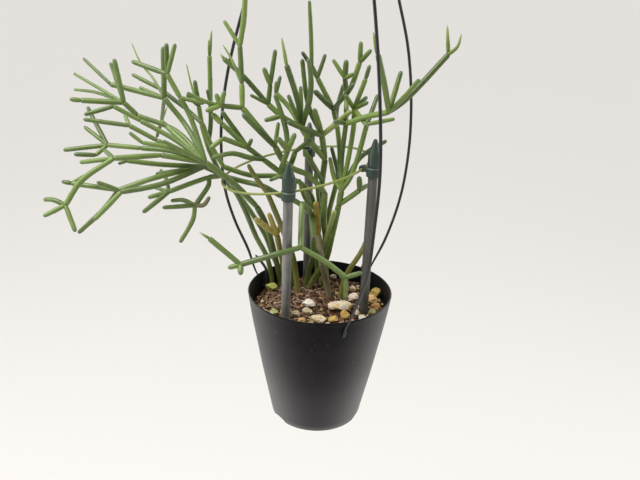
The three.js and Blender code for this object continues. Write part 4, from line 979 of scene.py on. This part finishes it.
# Each place follows the one before it, and a list inside a list is a side branch.
trees = {
    "stem_left_main": [
        foot(-31.5, 31, 5), bend(-39, 33, -24, 5), bend(-46, 57, -14, 5), j(-53, 71, -8, 5),
        bend(-73, 91, 4, 5), j(-93, 106, 10, 4.8),
        [bend(-119, 114, 6, 4), j(-143, 115.5, 2, 4), j(-169, 117, -4, 3.8), tip(-204, 111.5, -2, 3.9),
         tip(-186, 131, -14, 3.4), [bend(-179, 139, -22, 3.6), tip(-182, 146.5, -26, 3.4)],
         [j(-179, 108.5, 2, 3.6), tip(-196, 108.5, 6, 3.7)]],
        [j(-128, 110.5, 18, 4.2), j(-165, 106.5, 28, 4.2),
         [bend(-192, 87, 36, 4.2), j(-207, 66, 42, 4.2),
          [bend(-216, 70, 40, 3.9), tip(-224, 70, 36, 3.9)], tip(-226, 55.5, 50, 3.8),
          tip(-201, 43, 52, 3.8)], tip(-192, 102, 24, 3.6), tip(-172, 113, 16, 3.4)],
        [bend(-110, 113, 14, 4), j(-130, 122, 14, 3.8), j(-151, 133, 14, 3.6), tip(-186, 136.5, 18, 3.5),
         tip(-154, 141.5, 6, 3)],
        [bend(-116, 123, 0, 3.9), j(-142, 137, -4, 3.8), j(-162, 147.5, -4, 3.6), tip(-185, 140, 2, 3.6)],
        [bend(-115, 130, -10, 4), j(-144, 141, -14, 3.9), j(-154, 150.5, -14, 4),
         [j(-186.5, 151, -8, 4.4), tip(-195, 151.5, -6, 3.8)], tip(-190, 171, -36, 2.7),
         tip(-159, 183, -18, 4.3), tip(-162, 180, -28, 3),
         [bend(-175, 157.5, -34, 2.7), tip(-191, 159, -42, 2.6)]],
        [bend(-107, 134, -20, 4.2), j(-123, 155, -28, 4.4),
         [j(-163, 164, -34, 4.2), tip(-182, 182.5, -46, 2.8)],
         [j(-125.8, 137.9, -46, 3.2), tip(-130.4, 124.4, -50, 3), shoot(-120.8, 149.2, -52, 2)],
         tip(-141.5, 162.7, -36, 3), tip(-122, 193, -30, 4.4),
         [bend(-131, 170, -48, 2.4), bend(-139.5, 181, -54, 2.4), shoot(-145.5, 195.5, -60, 2)]],
        [bend(-104, 142, -4, 4), j(-111, 156, -6, 4),
         [j(-120, 173, -10, 4), tip(-119.5, 195.5, -10, 4), tip(-113, 195.5, -6, 3.8),
          tip(-146, 181.5, -20, 4)], tip(-93, 152, -8, 3.3)],
        [bend(-120, 116.5, 26, 3.6), j(-142, 120, 30, 3.2), tip(-151.6, 127.7, 30, 3)],
        tip(-126, 122, 34, 3.4), tip(-126.9, 137.8, -16, 4.6)
    ],
    "stem_left_lower": [
        foot(-40, 33, 4.6), bend(-44.6, 27, -28, 4.4), bend(-53.5, 45, -22, 4.4), bend(-63, 69, -16, 4.4),
        bend(-70, 83.2, -16, 4.4), bend(-77, 94.3, -10, 4.4), j(-94, 102.6, 0, 4.4),
        [bend(-129, 103, 12, 4), j(-155, 105, 18, 3.8), tip(-162, 102, 22, 3)],
        [bend(-130, 93, 20, 4.2), j(-163, 80.5, 30, 4.2),
         [j(-200, 84.5, 26, 4), tip(-208, 86, 26, 3.6), tip(-184, 94, 14, 3.4)], tip(-180, 86.5, 38, 3.4),
         [bend(-177, 63, 30, 4), tip(-199, 42, 32, 4)]],
        [bend(-131, 86, 34, 4.2), j(-161, 79, 44, 4.2), tip(-185, 54, 54, 4)], tip(-133, 95, 4, 3.4)
    ],
    "stem_low_spray": [
        foot(-15.1, 33.8, 4.6), bend(-9.8, 16, -28, 4.6), bend(-7, 28, -20, 4.6), j(-6.8, 45, -12, 4.6),
        j(-9, 67, -6, 4.6),
        [bend(-22.5, 77, -8, 4.4), bend(-34, 81, -8, 4.4), bend(-47.5, 88, -10, 4.4),
         bend(-63, 91.5, -14, 4.2), j(-81, 95.6, -8, 4.2), j(-91, 94, -4, 4.2),
         [bend(-106, 88, 0, 4), j(-123, 80.7, 4, 4), tip(-140, 75, 2, 3.8), tip(-145, 62, 14, 4),
          [bend(-125, 92, -6, 3.4), tip(-129, 99, -12, 3.2)], tip(-135, 84, -6, 3.2)],
         [bend(-91, 88, 0, 4), bend(-97, 78, 4, 4), j(-102.5, 70, 8, 4),
          [bend(-112, 74, 4, 3.6), tip(-122, 73, 2, 3.6)], tip(-129, 67, 16, 3.8),
          [bend(-95.6, 70.6, 10, 3.6), tip(-90.5, 78, 10, 3.6, "corky")],
          [bend(-104.6, 58, 12, 3.8), tip(-116, 37, 20, 3.8)]]],
        [j(-17, 75, 20, 4.6), bend(-17, 55, 30, 4.6), j(-17, 37, 42, 4.6),
         [bend(-40, 29, 50, 4.4), j(-66.5, 19.5, 52, 4.4),
          [j(-92, 42, 50, 4.2), shoot(-100, 47, 50, 2.4)], tip(-77, 16, 54, 4), tip(-66.4, 9.8, 58, 4.6)],
         [bend(5, 24, 38, 4.4), j(21, 11.5, 36, 4.4), tip(34.5, 16.5, 33, 4), tip(22, -8.6, 36, 4),
          tip(15.5, 13, 36, 4)]]
    ],
    "stem_left_back": [
        foot(-26, 41, 4.2), bend(-38, 24, -38, 4.2), bend(-47, 48, -36, 4.2), bend(-63, 74, -34, 4.2),
        bend(-80, 95, -32, 4.2), j(-91, 118, -32, 4),
        [bend(-95, 135, -34, 4), j(-97, 150, -36, 3.8), tip(-99.6, 169.5, -38, 3.8),
         tip(-106, 158.4, -30, 3.4), [bend(-102, 165, -44, 2.2), shoot(-105.4, 181.5, -48, 2)]],
        [bend(-88.5, 135, -36, 3.8), j(-88, 153, -40, 3.8),
         [j(-88, 187.5, -46, 3.8), shoot(-86, 206, -48, 3), shoot(-88.5, 199, -42, 2.6)],
         tip(-90.3, 162.8, -34, 3.4)]
    ],
    "stem_arching": [
        foot(-2.5, 44, 4.4), bend(-4, 45, -28, 4.4), bend(-6, 70, -28, 4.4),
        [bend(-14.7, 80, -16, 3.6), tip(-19.8, 95.2, -6, 3.4)], bend(-12, 86, -28, 4.2),
        bend(-20, 93, -28, 4.2), bend(-35, 97, -27, 4.2),
        [bend(-58, 97, -20, 4.2), j(-79, 103, -18, 4.2), bend(-88, 119, -18, 4), j(-95, 137, -20, 4),
         j(-107.5, 148, -34, 3.8), j(-126, 162, -44, 3.6), tip(-146.5, 172, -52, 3.6)],
        tip(-42.5, 93.5, -10, 3.4)
    ],
    "stem_upper_left": [
        foot(2, 32.5, 5), bend(3, 42, -15, 5), bend(1, 63, -8, 5), j(1, 85, -4, 5),
        bend(-13, 99, -2, 4.6), bend(-24.4, 103.6, -2, 4.6), bend(-32, 109.4, -4, 4.8),
        j(-39, 121, -2, 4.8),
        [bend(-48, 131, 2, 4.8), j(-64, 150, 6, 4.6),
         [j(-64.3, 168, 2, 4),
          [j(-65.5, 195.5, -4, 3.9), tip(-77, 213, -8, 3.3),
           [bend(-62.5, 215, -4, 4.2), tip(-61, 238, -2, 4.2)]],
          [bend(-72, 186, -6, 2.8), shoot(-78, 196, -8, 2.4)]],
         [j(-80.5, 151, 12, 4), tip(-84, 160, 14, 4), tip(-77.3, 162, 18, 3.8), tip(-92, 146.5, 20, 3.8),
          [bend(-93, 154, 14, 3.2), tip(-106, 160, 16, 3)]]], tip(-64, 145.5, 18, 4.6),
        tip(-36.5, 140, -8, 3.4)
    ],
    "stem_mid_left": [
        foot(-21.5, 33, 4.4), bend(-29, 35, -26, 4.4), bend(-28, 66, -20, 4.4), bend(-24, 93, -16, 4.4),
        j(-35, 100.5, -10, 4.4),
        [j(-47.7, 110, 0, 4.4),
         [j(-60, 119, 8, 4.2), tip(-80, 147, 2, 4), [j(-79.8, 137.3, 14, 4), tip(-87.5, 145, 14, 4.4)],
          [j(-78.8, 125.7, 22, 4), tip(-90, 117, 28, 3.6)], tip(-57, 126, 14, 3.2)],
         [bend(-60, 111.5, 16, 4), bend(-72, 114, 22, 4), tip(-88, 110, 28, 3.8)]],
        [bend(-27.5, 106, -4, 4.4), j(-23.2, 117.4, -4, 4.2), tip(-10, 128.8, 2, 3.6)],
        [j(-29, 118, 12, 4.2),
         [bend(-30.5, 133, 10, 4.2), bend(-35, 148.7, 10, 4), tip(-39.7, 161.3, 8, 3.6)],
         tip(-23.6, 132, 16, 4.2), tip(-37, 128, 22, 4.4)]
    ],
    "stem_olive_left": [
        foot(-17.5, 16, 5), bend(-21, 16, -14, 5), bend(-24, 30.5, -10, 5), bend(-34, 57, -6, 4.4),
        j(-44.5, 82.5, -2, 4.2), bend(-55, 97, -2, 4), tip(-60, 106, -2, 3.8)
    ],
    "stem_ochre": [
        foot(-27, 26, 4.4), bend(-32, 24, -20, 4.4), j(-36.5, 47, -10, 5), tip(-54.8, 61, -2, 5, "ochre"),
        tip(-43.5, 66, -8, 4.6, "ochre"), tip(-33, 60, -16, 3.6, "ochre")
    ],
    "stem_centre": [
        foot(11.5, 8.5, 5.6), bend(4.6, 9, -10, 5.6, "corky"), bend(0.2, 27, -12, 5.6, "corky"),
        j(-3, 49, -12, 5.6, "corky"), tip(-6, 77, 4, 5.2, "brown"),
        [bend(-3, 72, -18, 5), [bend(-4.5, 84, -12, 3.4), tip(-7.1, 101.4, -8, 3.4)],
         bend(-1.5, 95, -20, 5), tip(-16.4, 118.9, 6, 4.4), j(0, 112, -18, 5),
         [j(-3, 131, -12, 5), [bend(8, 141, -4, 4.6), tip(18, 150.5, 6, 4.4, "young")],
          [bend(-12.6, 149.5, -16, 4), bend(-15.6, 160, -18, 4), tip(-19.7, 188, -20, 4)],
          [bend(-9, 132.8, 2, 4.6), tip(-30, 140.7, 12, 4.2)], tip(-9.7, 151.5, -2, 4.6)],
         [bend(-10, 124, -6, 4.8), j(-18.7, 136, -6, 4.8),
          [j(-34.6, 144.7, -6, 4.4),
           [j(-44.5, 153.5, -6, 4.4),
            [bend(-62.6, 173, -8, 4), j(-77.5, 186, -12, 3.8), shoot(-80.5, 190, -14, 2.2)],
            [j(-43, 168, -2, 3.8), tip(-48, 180.5, 2, 4), tip(-39.4, 194, -4, 3.6)],
            tip(-58, 160, 6, 2.8)], tip(-47, 141, 8, 4)],
          [bend(-22, 156, -2, 4.4), j(-31, 183, 0, 4.4), shoot(-35, 203, -2, 3)],
          [bend(-13.1, 160, 8, 4.4), bend(-12.6, 172, 10, 4.2), tip(-15, 188.5, 12, 3.6)],
          tip(-29.5, 161, 12, 3.4), tip(-20.3, 168, -14, 3.6),
          [bend(-28, 151, -16, 4), j(-38.5, 162, -20, 4), tip(-38.3, 171, -20, 3.8),
           tip(-35.5, 175, -26, 3.2)]]]
    ],
    "stem_tall": [
        foot(6.5, 41, 4.2), bend(4, 60, -30, 4.2), bend(10, 95, -26, 4.2), bend(11.5, 112, -24, 4),
        bend(9, 135, -22, 4), [bend(7.5, 150, -30, 3.6), tip(11.8, 170.7, -36, 3.6)], j(5, 151.5, -22, 4),
        [bend(15.7, 166, 2, 3.8), tip(19.5, 171.8, 4, 3.6)],
        [j(-8, 174.5, -24, 4),
         [j(-12.4, 183, -24, 3.8), [bend(-13.6, 205, -26, 3.4), tip(-15.5, 229, -28, 3.1)],
          tip(-20, 193, -16, 3.3)], tip(-2.5, 192, -30, 3.3)], tip(-10, 165, -8, 4.6)
    ],
    "stem_right": [
        foot(-13, 27, 4.6), bend(-6.9, 6.5, -24, 4.6), bend(-0.9, 18, -22, 4.6),
        [bend(2, 28, -12, 4.4, "young"), bend(4.4, 48, 2, 4.4, "young"), tip(9.5, 70.3, 8, 4.2, "young")],
        bend(3.8, 26.5, -20, 5), bend(8.5, 50, -6, 5), j(12.5, 75, 0, 5),
        [j(28.5, 88, 4, 4.2), tip(27.5, 99.5, 6, 4.6), tip(35, 93, -4, 3.6)],
        [j(14, 87, 2, 5), [bend(8.4, 96.2, -4, 3.8), tip(3.6, 114.1, -8, 3.6)],
         [bend(10.5, 102.4, -14, 3.8), tip(4.6, 122.3, -18, 3.6)],
         [bend(18, 112, 2, 4), bend(21, 140, -2, 3.9), j(20.5, 152.5, -2, 3.9), tip(30, 162, -12, 3.6),
          tip(31, 158, 4, 3.6), [j(28, 175, -4, 3.8), tip(30.5, 185.5, -6, 3.4)],
          tip(13.4, 162.7, 8, 3.6), tip(31.1, 139.8, 24, 3.8)],
         [bend(20, 97, 8, 4), bend(25, 113, 10, 3.9), j(31, 141, 8, 3.8), tip(52, 146, 6, 3.4),
          tip(38, 164, -6, 3.6)], [bend(27, 114, -8, 3.8), tip(47, 129, -14, 3.6)],
         [bend(13, 112, -8, 4), j(15, 141, -12, 3.9), tip(6.1, 142.2, 0, 3.8),
          [bend(19, 142.3, 14, 4.2), bend(28, 146, 18, 4.2), j(47, 151, 34, 4.2),
           [bend(42, 172, 46, 4.2), j(36, 193, 58, 4), shoot(31.5, 209, 64, 3.4)], tip(54, 182, 24, 3.8),
           [bend(59, 161, 34, 4.2), j(87.5, 195, 26, 4), shoot(84.5, 216, 22, 3),
            [bend(93.6, 201, 32, 2.8), shoot(95.5, 210.5, 34, 2.6)]],
           [bend(57, 162, 42, 3.4), tip(68, 176.5, 46, 3.4)]], j(14.5, 163, -16, 3.9),
          [j(12.5, 175, -16, 4), tip(3, 188.5, -22, 3.4), tip(13, 188.5, -14, 4.4),
           tip(19, 178.5, -8, 3.4)],
          [bend(18, 170, -22, 4.2), j(23, 187, -24, 4.2), tip(23, 202, -26, 3.8),
           tip(31, 196.5, -20, 3.8)]]]
    ],
    "stem_olive_right": [
        foot(17, 10, 4.4), bend(20, 10, -8, 4.4), bend(33, 36, -4, 4.4), bend(40, 58, -6, 4.2),
        tip(43, 79, -6, 4.6)
    ],
}


def grow(items, parent=None):
    """Hangs each place on the one that it grows from."""
    last = parent
    for item in items:
        if isinstance(item, list):
            grow(item, last)
            continue
        if last:
            last.kids.append(item)
        if item.kind not in ("tip", "shoot"):
            last = item
    return items[0]


class Stretch:
    """A straight piece of a stem, or of something that stems keep clear of."""

    def __init__(self, name, start, end, radius):
        self.name, self.start, self.end, self.radius = name, start, end, radius

    def depth(self, share):
        """How near the eye a place along it is."""
        return self.start.near + (self.end.near - self.start.near) * share

    def shift(self, share, push):
        for place, part in ((self.start, 1 - share), (self.end, share)):
            if place.kind != "foot":
                place.near += push * part


def stretches(name, start):
    made = []
    for end in start.kids:
        made.extend([Stretch(name, start, end, end.width / 2), *stretches(name, end)])
    return made


def still(start, end, radius):
    """A stretch that never moves, between two places in mm above the rim."""
    ends = (Place("foot", 0, 0, -spot[1], 0, fixed=tuple(spot)) for spot in (start, end))
    return Stretch("still", *ends, radius)


def obstacles():
    """The stakes, caps, clips, ring and wires, for the stems to keep clear of."""
    made = []
    for low, high in STAKES.values():
        along = (Vector(high) - Vector(low)).normalized()
        on_axis, on_ring = clip_places(low, high)
        past = on_ring + (on_ring - on_axis).normalized() * (RING_WIRE / 2 + 1.3)
        cone = Vector(high) + along * (CAP_LENGTH - 3)
        made += [still(on_axis, past, 3), still(low, high, STAKE_RADIUS),
                 still(high, cone, CAP_RADIUS + 0.8)]
    for i in range(RING_PLACES):
        ends = (ring_place(step / 12 * math.pi) for step in (i, i + 1))
        made.append(still(*ends, RING_WIRE / 2 + WIRE_CLEAR))
    for name in LEGS:
        for places in (bow_places(name), hooked_places(name)):
            made.extend(still(*ends, HANGER_WIRE / 2 + 2 * WIRE_CLEAR) for ends in zip(places, places[1:]))
    return made


def dot(a, b):
    return a[0] * b[0] + a[1] * b[1] + a[2] * b[2]


def nearest(a, b, c, d):
    """The nearest places of two straight pieces, as shares of their lengths, and their distance."""
    u, v, w = ((q[0] - p[0], q[1] - p[1], q[2] - p[2]) for p, q in ((a, b), (c, d), (c, a)))
    uu, uv, vv, uw, vw = dot(u, u), dot(u, v), dot(v, v), dot(u, w), dot(v, w)
    parallel = uu * vv - uv * uv
    free = (uv * vw - vv * uw) / parallel if parallel > 1e-9 else 0.5
    t = min(max((min(max(free, 0.0), 1.0) * uv + vw) / vv, 0.0), 1.0)
    s = min(max((t * uv - uw) / uu, 0.0), 1.0)
    return s, t, math.dist([a[i] + u[i] * s for i in range(3)], [c[i] + v[i] * t for i in range(3)])


def seen_near(one, two):
    """Whether two stretches could come close as they move along the line of sight."""
    ends = [place.on_plane() for place in (one.start, one.end, two.start, two.end)]
    return nearest(*ends)[2] < (one.radius + two.radius + STEM_CLEAR) * 1.5


def bend_clear(moving):
    """Moves stems that would cross apart along the line of sight, until all are clear."""
    others = moving + obstacles()
    pairs = [(one, two) for i, one in enumerate(moving) for two in others[i + 1:]
             if one.name != two.name and seen_near(one, two)]
    for _ in range(BEND_SWEEPS):
        touching = 0
        for one, two in pairs:
            s, t, gap = nearest(one.start.spot(), one.end.spot(), two.start.spot(), two.end.spot())
            need = one.radius + two.radius + STEM_CLEAR
            if gap < need:
                touching += 1
                push = min(need - gap, BEND_STEP) * (0.5 if one.depth(s) >= two.depth(t) else -0.5)
                one.shift(s, push)
                two.shift(t, -push)
        if not touching:
            break


def heading(start, end):
    way = np.array(end.spot()) - np.array(start.spot())
    return way / np.linalg.norm(way)


def chains_from(start, first):
    """A stem and its branches as lists of places. The straightest way on is the same stem."""
    chain, branches = [start, first], []
    while chain[-1].kids:
        here = chain[-1]
        way = heading(chain[-2], here)
        onward = max(here.kids, key=lambda kid: float(heading(here, kid) @ way))
        for kid in here.kids:
            if kid is not onward:
                branches.extend(chains_from(here, kid))
        chain.append(onward)
    return [chain, *branches]


STATION_STEP = 1.6        # mm between the rings of a stem
PINCH = 0.66              # a joint's width as a share of the internode's
NECK = 0.9                # an internode's base as a share of its full width
TIP_REACH = 3             # mm of a tip that are greyer
SCAR_REACH = 0.8          # mm either side of a joint that its dark scar takes
NEAR_ENDS = (0.06, 0.16, 0.32, 0.55, 0.85, 1.25, 1.8)  # rings by an internode's ends, in radii
MARKS = ("ochre", "brown", "corky", "young")  # what sets some stretches apart
LABELS = ("tip", "scar", "tone", "old", *MARKS)


def rounded(share):
    """A quarter circle: 0 at 0, 1 at 1."""
    return np.sqrt(1 - (1 - share) ** 2)


def internode(run, draw):
    """The rings of one internode: slimmer at its base, pinched at its joint, blunt or pointed."""
    drawn, lengths = smooth_path([place.spot() for place in run])
    total, last = lengths[-1], run[-1]
    radius = last.width / 2
    ends = [radius * step for step in NEAR_ENDS if radius * step < total * 0.45]
    inner = np.linspace(ends[-1], total - ends[-1], max(int((total - 2 * ends[-1]) / STATION_STEP), 2) + 1)
    stations = np.array([0, *ends[:-1], *inner, *(total - end for end in ends[-2::-1]), total])
    left = total - stations
    even = np.linspace(0, total, 24)
    widths = np.interp(even, lengths[::PATH_FINENESS], [run[1].width, *(place.width for place in run[1:])])
    full = np.interp(stations, even, widths) / 2
    full = full * (PINCH + (1 - PINCH) * rounded(np.clip(stations / (1.3 * radius), 0, 1)))
    full = full * (NECK + (1 - NECK) * np.clip(stations / (0.35 * total), 0, 1))
    scar = np.clip(1 - stations / SCAR_REACH, 0, 1)
    if last.kind == "joint":
        full = full * (PINCH + (1 - PINCH) * rounded(np.clip(left / radius, 0, 1)))
        scar = np.maximum(scar, np.clip(1 - left / SCAR_REACH, 0, 1))
    elif last.kind == "tip":
        full = full * rounded(np.clip(left / (1.25 * radius), 0.02, 1))
        full = full * (0.86 + 0.14 * np.clip(2 * left / total, 0, 1))
    else:
        full = full * (0.45 + 0.55 * np.clip(left / (0.75 * total), 0, 1))
        full = full * np.clip(left / 3.2, 0.03, 1) ** 0.6
    points = at_stations(drawn, lengths, stations)
    marks = {mark: np.full(len(stations), float(last.mark == mark)) for mark in MARKS}
    if last.kind == "shoot":
        marks["young"] = np.clip(1.8 * stations / total - 0.6, 0, 0.9)
    return {
        "points": points, "radius": full, "scar": scar, "tone": np.full(len(stations), draw.random()),
        "tip": np.clip(1 - left / TIP_REACH, 0, 1) * (last.kind == "tip"),
        "old": np.clip(1 - (points[:, 2] - SOIL_LEVEL) / 75, 0, 1), **marks,
    }


def chain_strand(chain, draw):
    """A whole stem or branch as one strand, from a point sunk in the joint it starts from."""
    runs = []
    for i, here in enumerate(chain[1:]):
        if i == 0 or chain[i].kind != "bend":
            runs.append([chain[i]])
        runs[-1].append(here)
    parts = [internode(run, draw) for run in runs]
    if chain[0].kind != "foot":
        first = parts[0]
        back = first["points"][0] - first["points"][1]
        sunk = first["points"][0] + back / np.linalg.norm(back) * first["radius"][0] * 0.4
        for label, values in first.items():
            first[label] = np.concatenate([[sunk] if label == "points" else values[:1], values])
    joined = {label: np.concatenate([part[label][1 if i else 0:] for i, part in enumerate(parts)])
              for label in parts[0]}
    return {**joined, "closed": False}


roots = {name: grow(places) for name, places in trees.items()}
bend_clear([one for name, root in roots.items() for one in stretches(name, root)])

# The skin of all stems: a mottled waxy green, greyer at the tips, with dark scars at the joints,
# pale new shoots, and olive, ochre, brown or corky where the stem is old.
BLANK = (0.0, 0.0, 0.0, 1.0)
waxy_skin, into = new_group(
    "waxy_skin", {"Green": BLANK, "Deep": BLANK, "Bloom": BLANK},
    {"Color": BLANK, "Roughness": 0.0, "Normal": (0, 0, 0)},
)
tree = waxy_skin
place = object_place(tree)
cloud = noise_value(tree, place, 60, 3, 0.55)
mottle = noise_value(tree, place, 420, 4, 0.65)
flecks = cells(tree, place, 900)
tips, scars, ochre, brown, corky, young = (named_value(tree, label) for label in ("tip", "scar", *MARKS))
share = math_node(tree, "MULTIPLY_ADD", named_value(tree, "tone"), 0.55, times(tree, cloud, 0.6))
patchy = band(tree, math_node(tree, "ADD", named_value(tree, "old"), times(tree, cloud, 0.5)), 0.75, 1.3)
scar = times(tree, band(tree, scars, 0.15, 0.8), band(tree, mottle, 0.25, 0.5))
mottled = band(tree, mottle, 0.35, 0.65)
colour = mix(tree, band(tree, share, 0.2, 0.85), into["Deep"], into["Green"])
for amount, over in (
    (times(tree, band(tree, mottle, 0.5, 0.75), 0.18), into["Bloom"]),
    (times(tree, band(tree, mottle, 0.5, 0.25), 0.15), into["Deep"]),
    (times(tree, patchy, 0.8), (0.23, 0.235, 0.07)),
    (times(tree, band(tree, tips, 0.15, 0.8), 0.65), (0.085, 0.14, 0.095)),
    (young, (0.28, 0.35, 0.1)),
    (times(tree, ochre, 0.9), mix(tree, mottled, (0.38, 0.29, 0.04), (0.52, 0.45, 0.12))),
    (brown, mix(tree, mottled, (0.25, 0.17, 0.026), (0.37, 0.28, 0.05))),
    (corky, mix(tree, band(tree, flecks, 0.1, 0.5), (0.085, 0.08, 0.036), (0.18, 0.165, 0.08))),
    (times(tree, scar, 0.8), (0.075, 0.055, 0.025)),
    (named_value(tree, "spot"), (0.15, 0.12, 0.06)),
):
    colour = mix(tree, amount, colour, over)
rough = math_node(tree, "MULTIPLY_ADD", mottle, 0.22, math_node(tree, "MULTIPLY_ADD", corky, 0.35, 0.3))
height = math_node(tree, "ADD", times(tree, mottle, 0.5), times(tree, flecks, 0.15))
put(tree, "NodeGroupOutput", {
    "Color": colour, "Roughness": rough, "Normal": bumped(tree, height, 0.2, 0.0003)})

SKINS = [                 # slot, finish, its green, deep and bloom colours, and the stems
    ("stem_bluish", "skin_bluish", (0.165, 0.245, 0.052), (0.08, 0.125, 0.026), (0.27, 0.37, 0.15),
     ["stem_left_main", "stem_left_lower", "stem_low_spray"]),
    ("stem_green", "skin_green", (0.18, 0.268, 0.05), (0.058, 0.1, 0.014), (0.29, 0.39, 0.14),
     ["stem_left_back", "stem_arching", "stem_upper_left", "stem_mid_left", "stem_centre"]),
    # The tall and right stems take a darker copy of the green skin: painted shade.
    ("stem_green", "skin_shaded", (0.14, 0.212, 0.032), (0.044, 0.078, 0.01), (0.25, 0.34, 0.11),
     ["stem_tall", "stem_right"]),
    ("stem_olive", "skin_olive", (0.19, 0.195, 0.035), (0.1, 0.115, 0.018), (0.27, 0.28, 0.08),
     ["stem_olive_left", "stem_olive_right"]),
    ("stem_ochre", "skin_ochre", (0.27, 0.24, 0.055), (0.16, 0.13, 0.035), (0.33, 0.3, 0.1), ["stem_ochre"]),
]

# One tree draws every stem: the tube with a slight unevenness, and tiny areoles in a spiral.
STEM_SIDES = 14
UNEVENNESS = 0.00018
AREOLE_GAP, AREOLE_SIZE = 0.0042, 0.0003
AREOLE_TURN = math.radians(137.5)  # from one areole to the next
BARE_RADIUS = 0.0011      # thinner stretches have no areoles
stem_tree, into = geometry_tree("jointed_stem", Skin="Material")
tree = stem_tree
curve, tube = tube_nodes(tree, into["Geometry"], STEM_SIDES)
bumpy = put(tree, "ShaderNodeTexNoise", {"Scale": 110.0, "Detail": 2.0}).outputs[0]
lift = times(tree, math_node(tree, "SUBTRACT", bumpy, 0.5), 2 * UNEVENNESS)
offset = vector_math(tree, "SCALE", put(tree, "GeometryNodeInputNormal").outputs[0], {"Scale": lift})
uneven = changed(tree, "SetPosition", tube, {"Offset": offset})
points = put(tree, "GeometryNodeCurveToPoints", {"Curve": curve, "Length": AREOLE_GAP}, mode="LENGTH")
turn = times(tree, put(tree, "GeometryNodeInputIndex").outputs[0], AREOLE_TURN)
spin = put(tree, "FunctionNodeAxisAngleToRotation", {"Axis": (0, 0, 1), "Angle": turn}).outputs[0]
turned = put(tree, "FunctionNodeRotateRotation", {0: points.outputs["Rotation"], 1: spin},
             rotation_space="LOCAL").outputs[0]
radius = named_number(tree, "radius")
reach = put(tree, "ShaderNodeCombineXYZ", {"X": radius}).outputs[0]
shifted = put(tree, "FunctionNodeRotateVector", {"Vector": reach, "Rotation": turned}).outputs[0]
placed = changed(tree, "SetPosition", points.outputs[0], {"Offset": shifted})
dot_shape = put(tree, "GeometryNodeMeshIcoSphere", {"Radius": AREOLE_SIZE, "Subdivisions": 1}).outputs[0]
wide = put(tree, "FunctionNodeCompare", {0: radius, 1: BARE_RADIUS}, data_type="FLOAT",
           operation="GREATER_THAN").outputs[0]
dots = changed(tree, "RealizeInstances", changed(tree, "InstanceOnPoints", placed, {
    "Selection": wide, "Instance": dot_shape, "Rotation": turned, "Scale": (0.8, 1.0, 1.5)}))
dots = changed(tree, "StoreNamedAttribute", dots, {"Name": "spot", "Value": 1.0}, data_type="FLOAT",
               domain="POINT")
both = put(tree, "GeometryNodeJoinGeometry", {0: uneven})
feed(both, {0: dots})
give_out(tree, changed(tree, "SetShadeSmooth", both.outputs[0]), into["Skin"])

for slot, finish, *colours, names in SKINS:
    coat, tree, shader = new_material(finish)
    inputs = {label: (*colour, 1) for label, colour in zip(("Green", "Deep", "Bloom"), colours)}
    waxy = put(tree, "ShaderNodeGroup", inputs, node_tree=waxy_skin).outputs
    feed(shader, {"Base Color": waxy["Color"], "Roughness": waxy["Roughness"], "Normal": waxy["Normal"],
                  "Specular IOR Level": 0.6})
    for name in names:
        draw = random.Random(name)
        root = roots[name]
        strands = [chain_strand(chain, draw) for kid in root.kids for chain in chains_from(root, kid)]
        made = strands_object(name.replace("stem_", "plant_"), strands, LABELS)
        stand_for(apply_tree(made, stem_tree, Skin=coat), name)
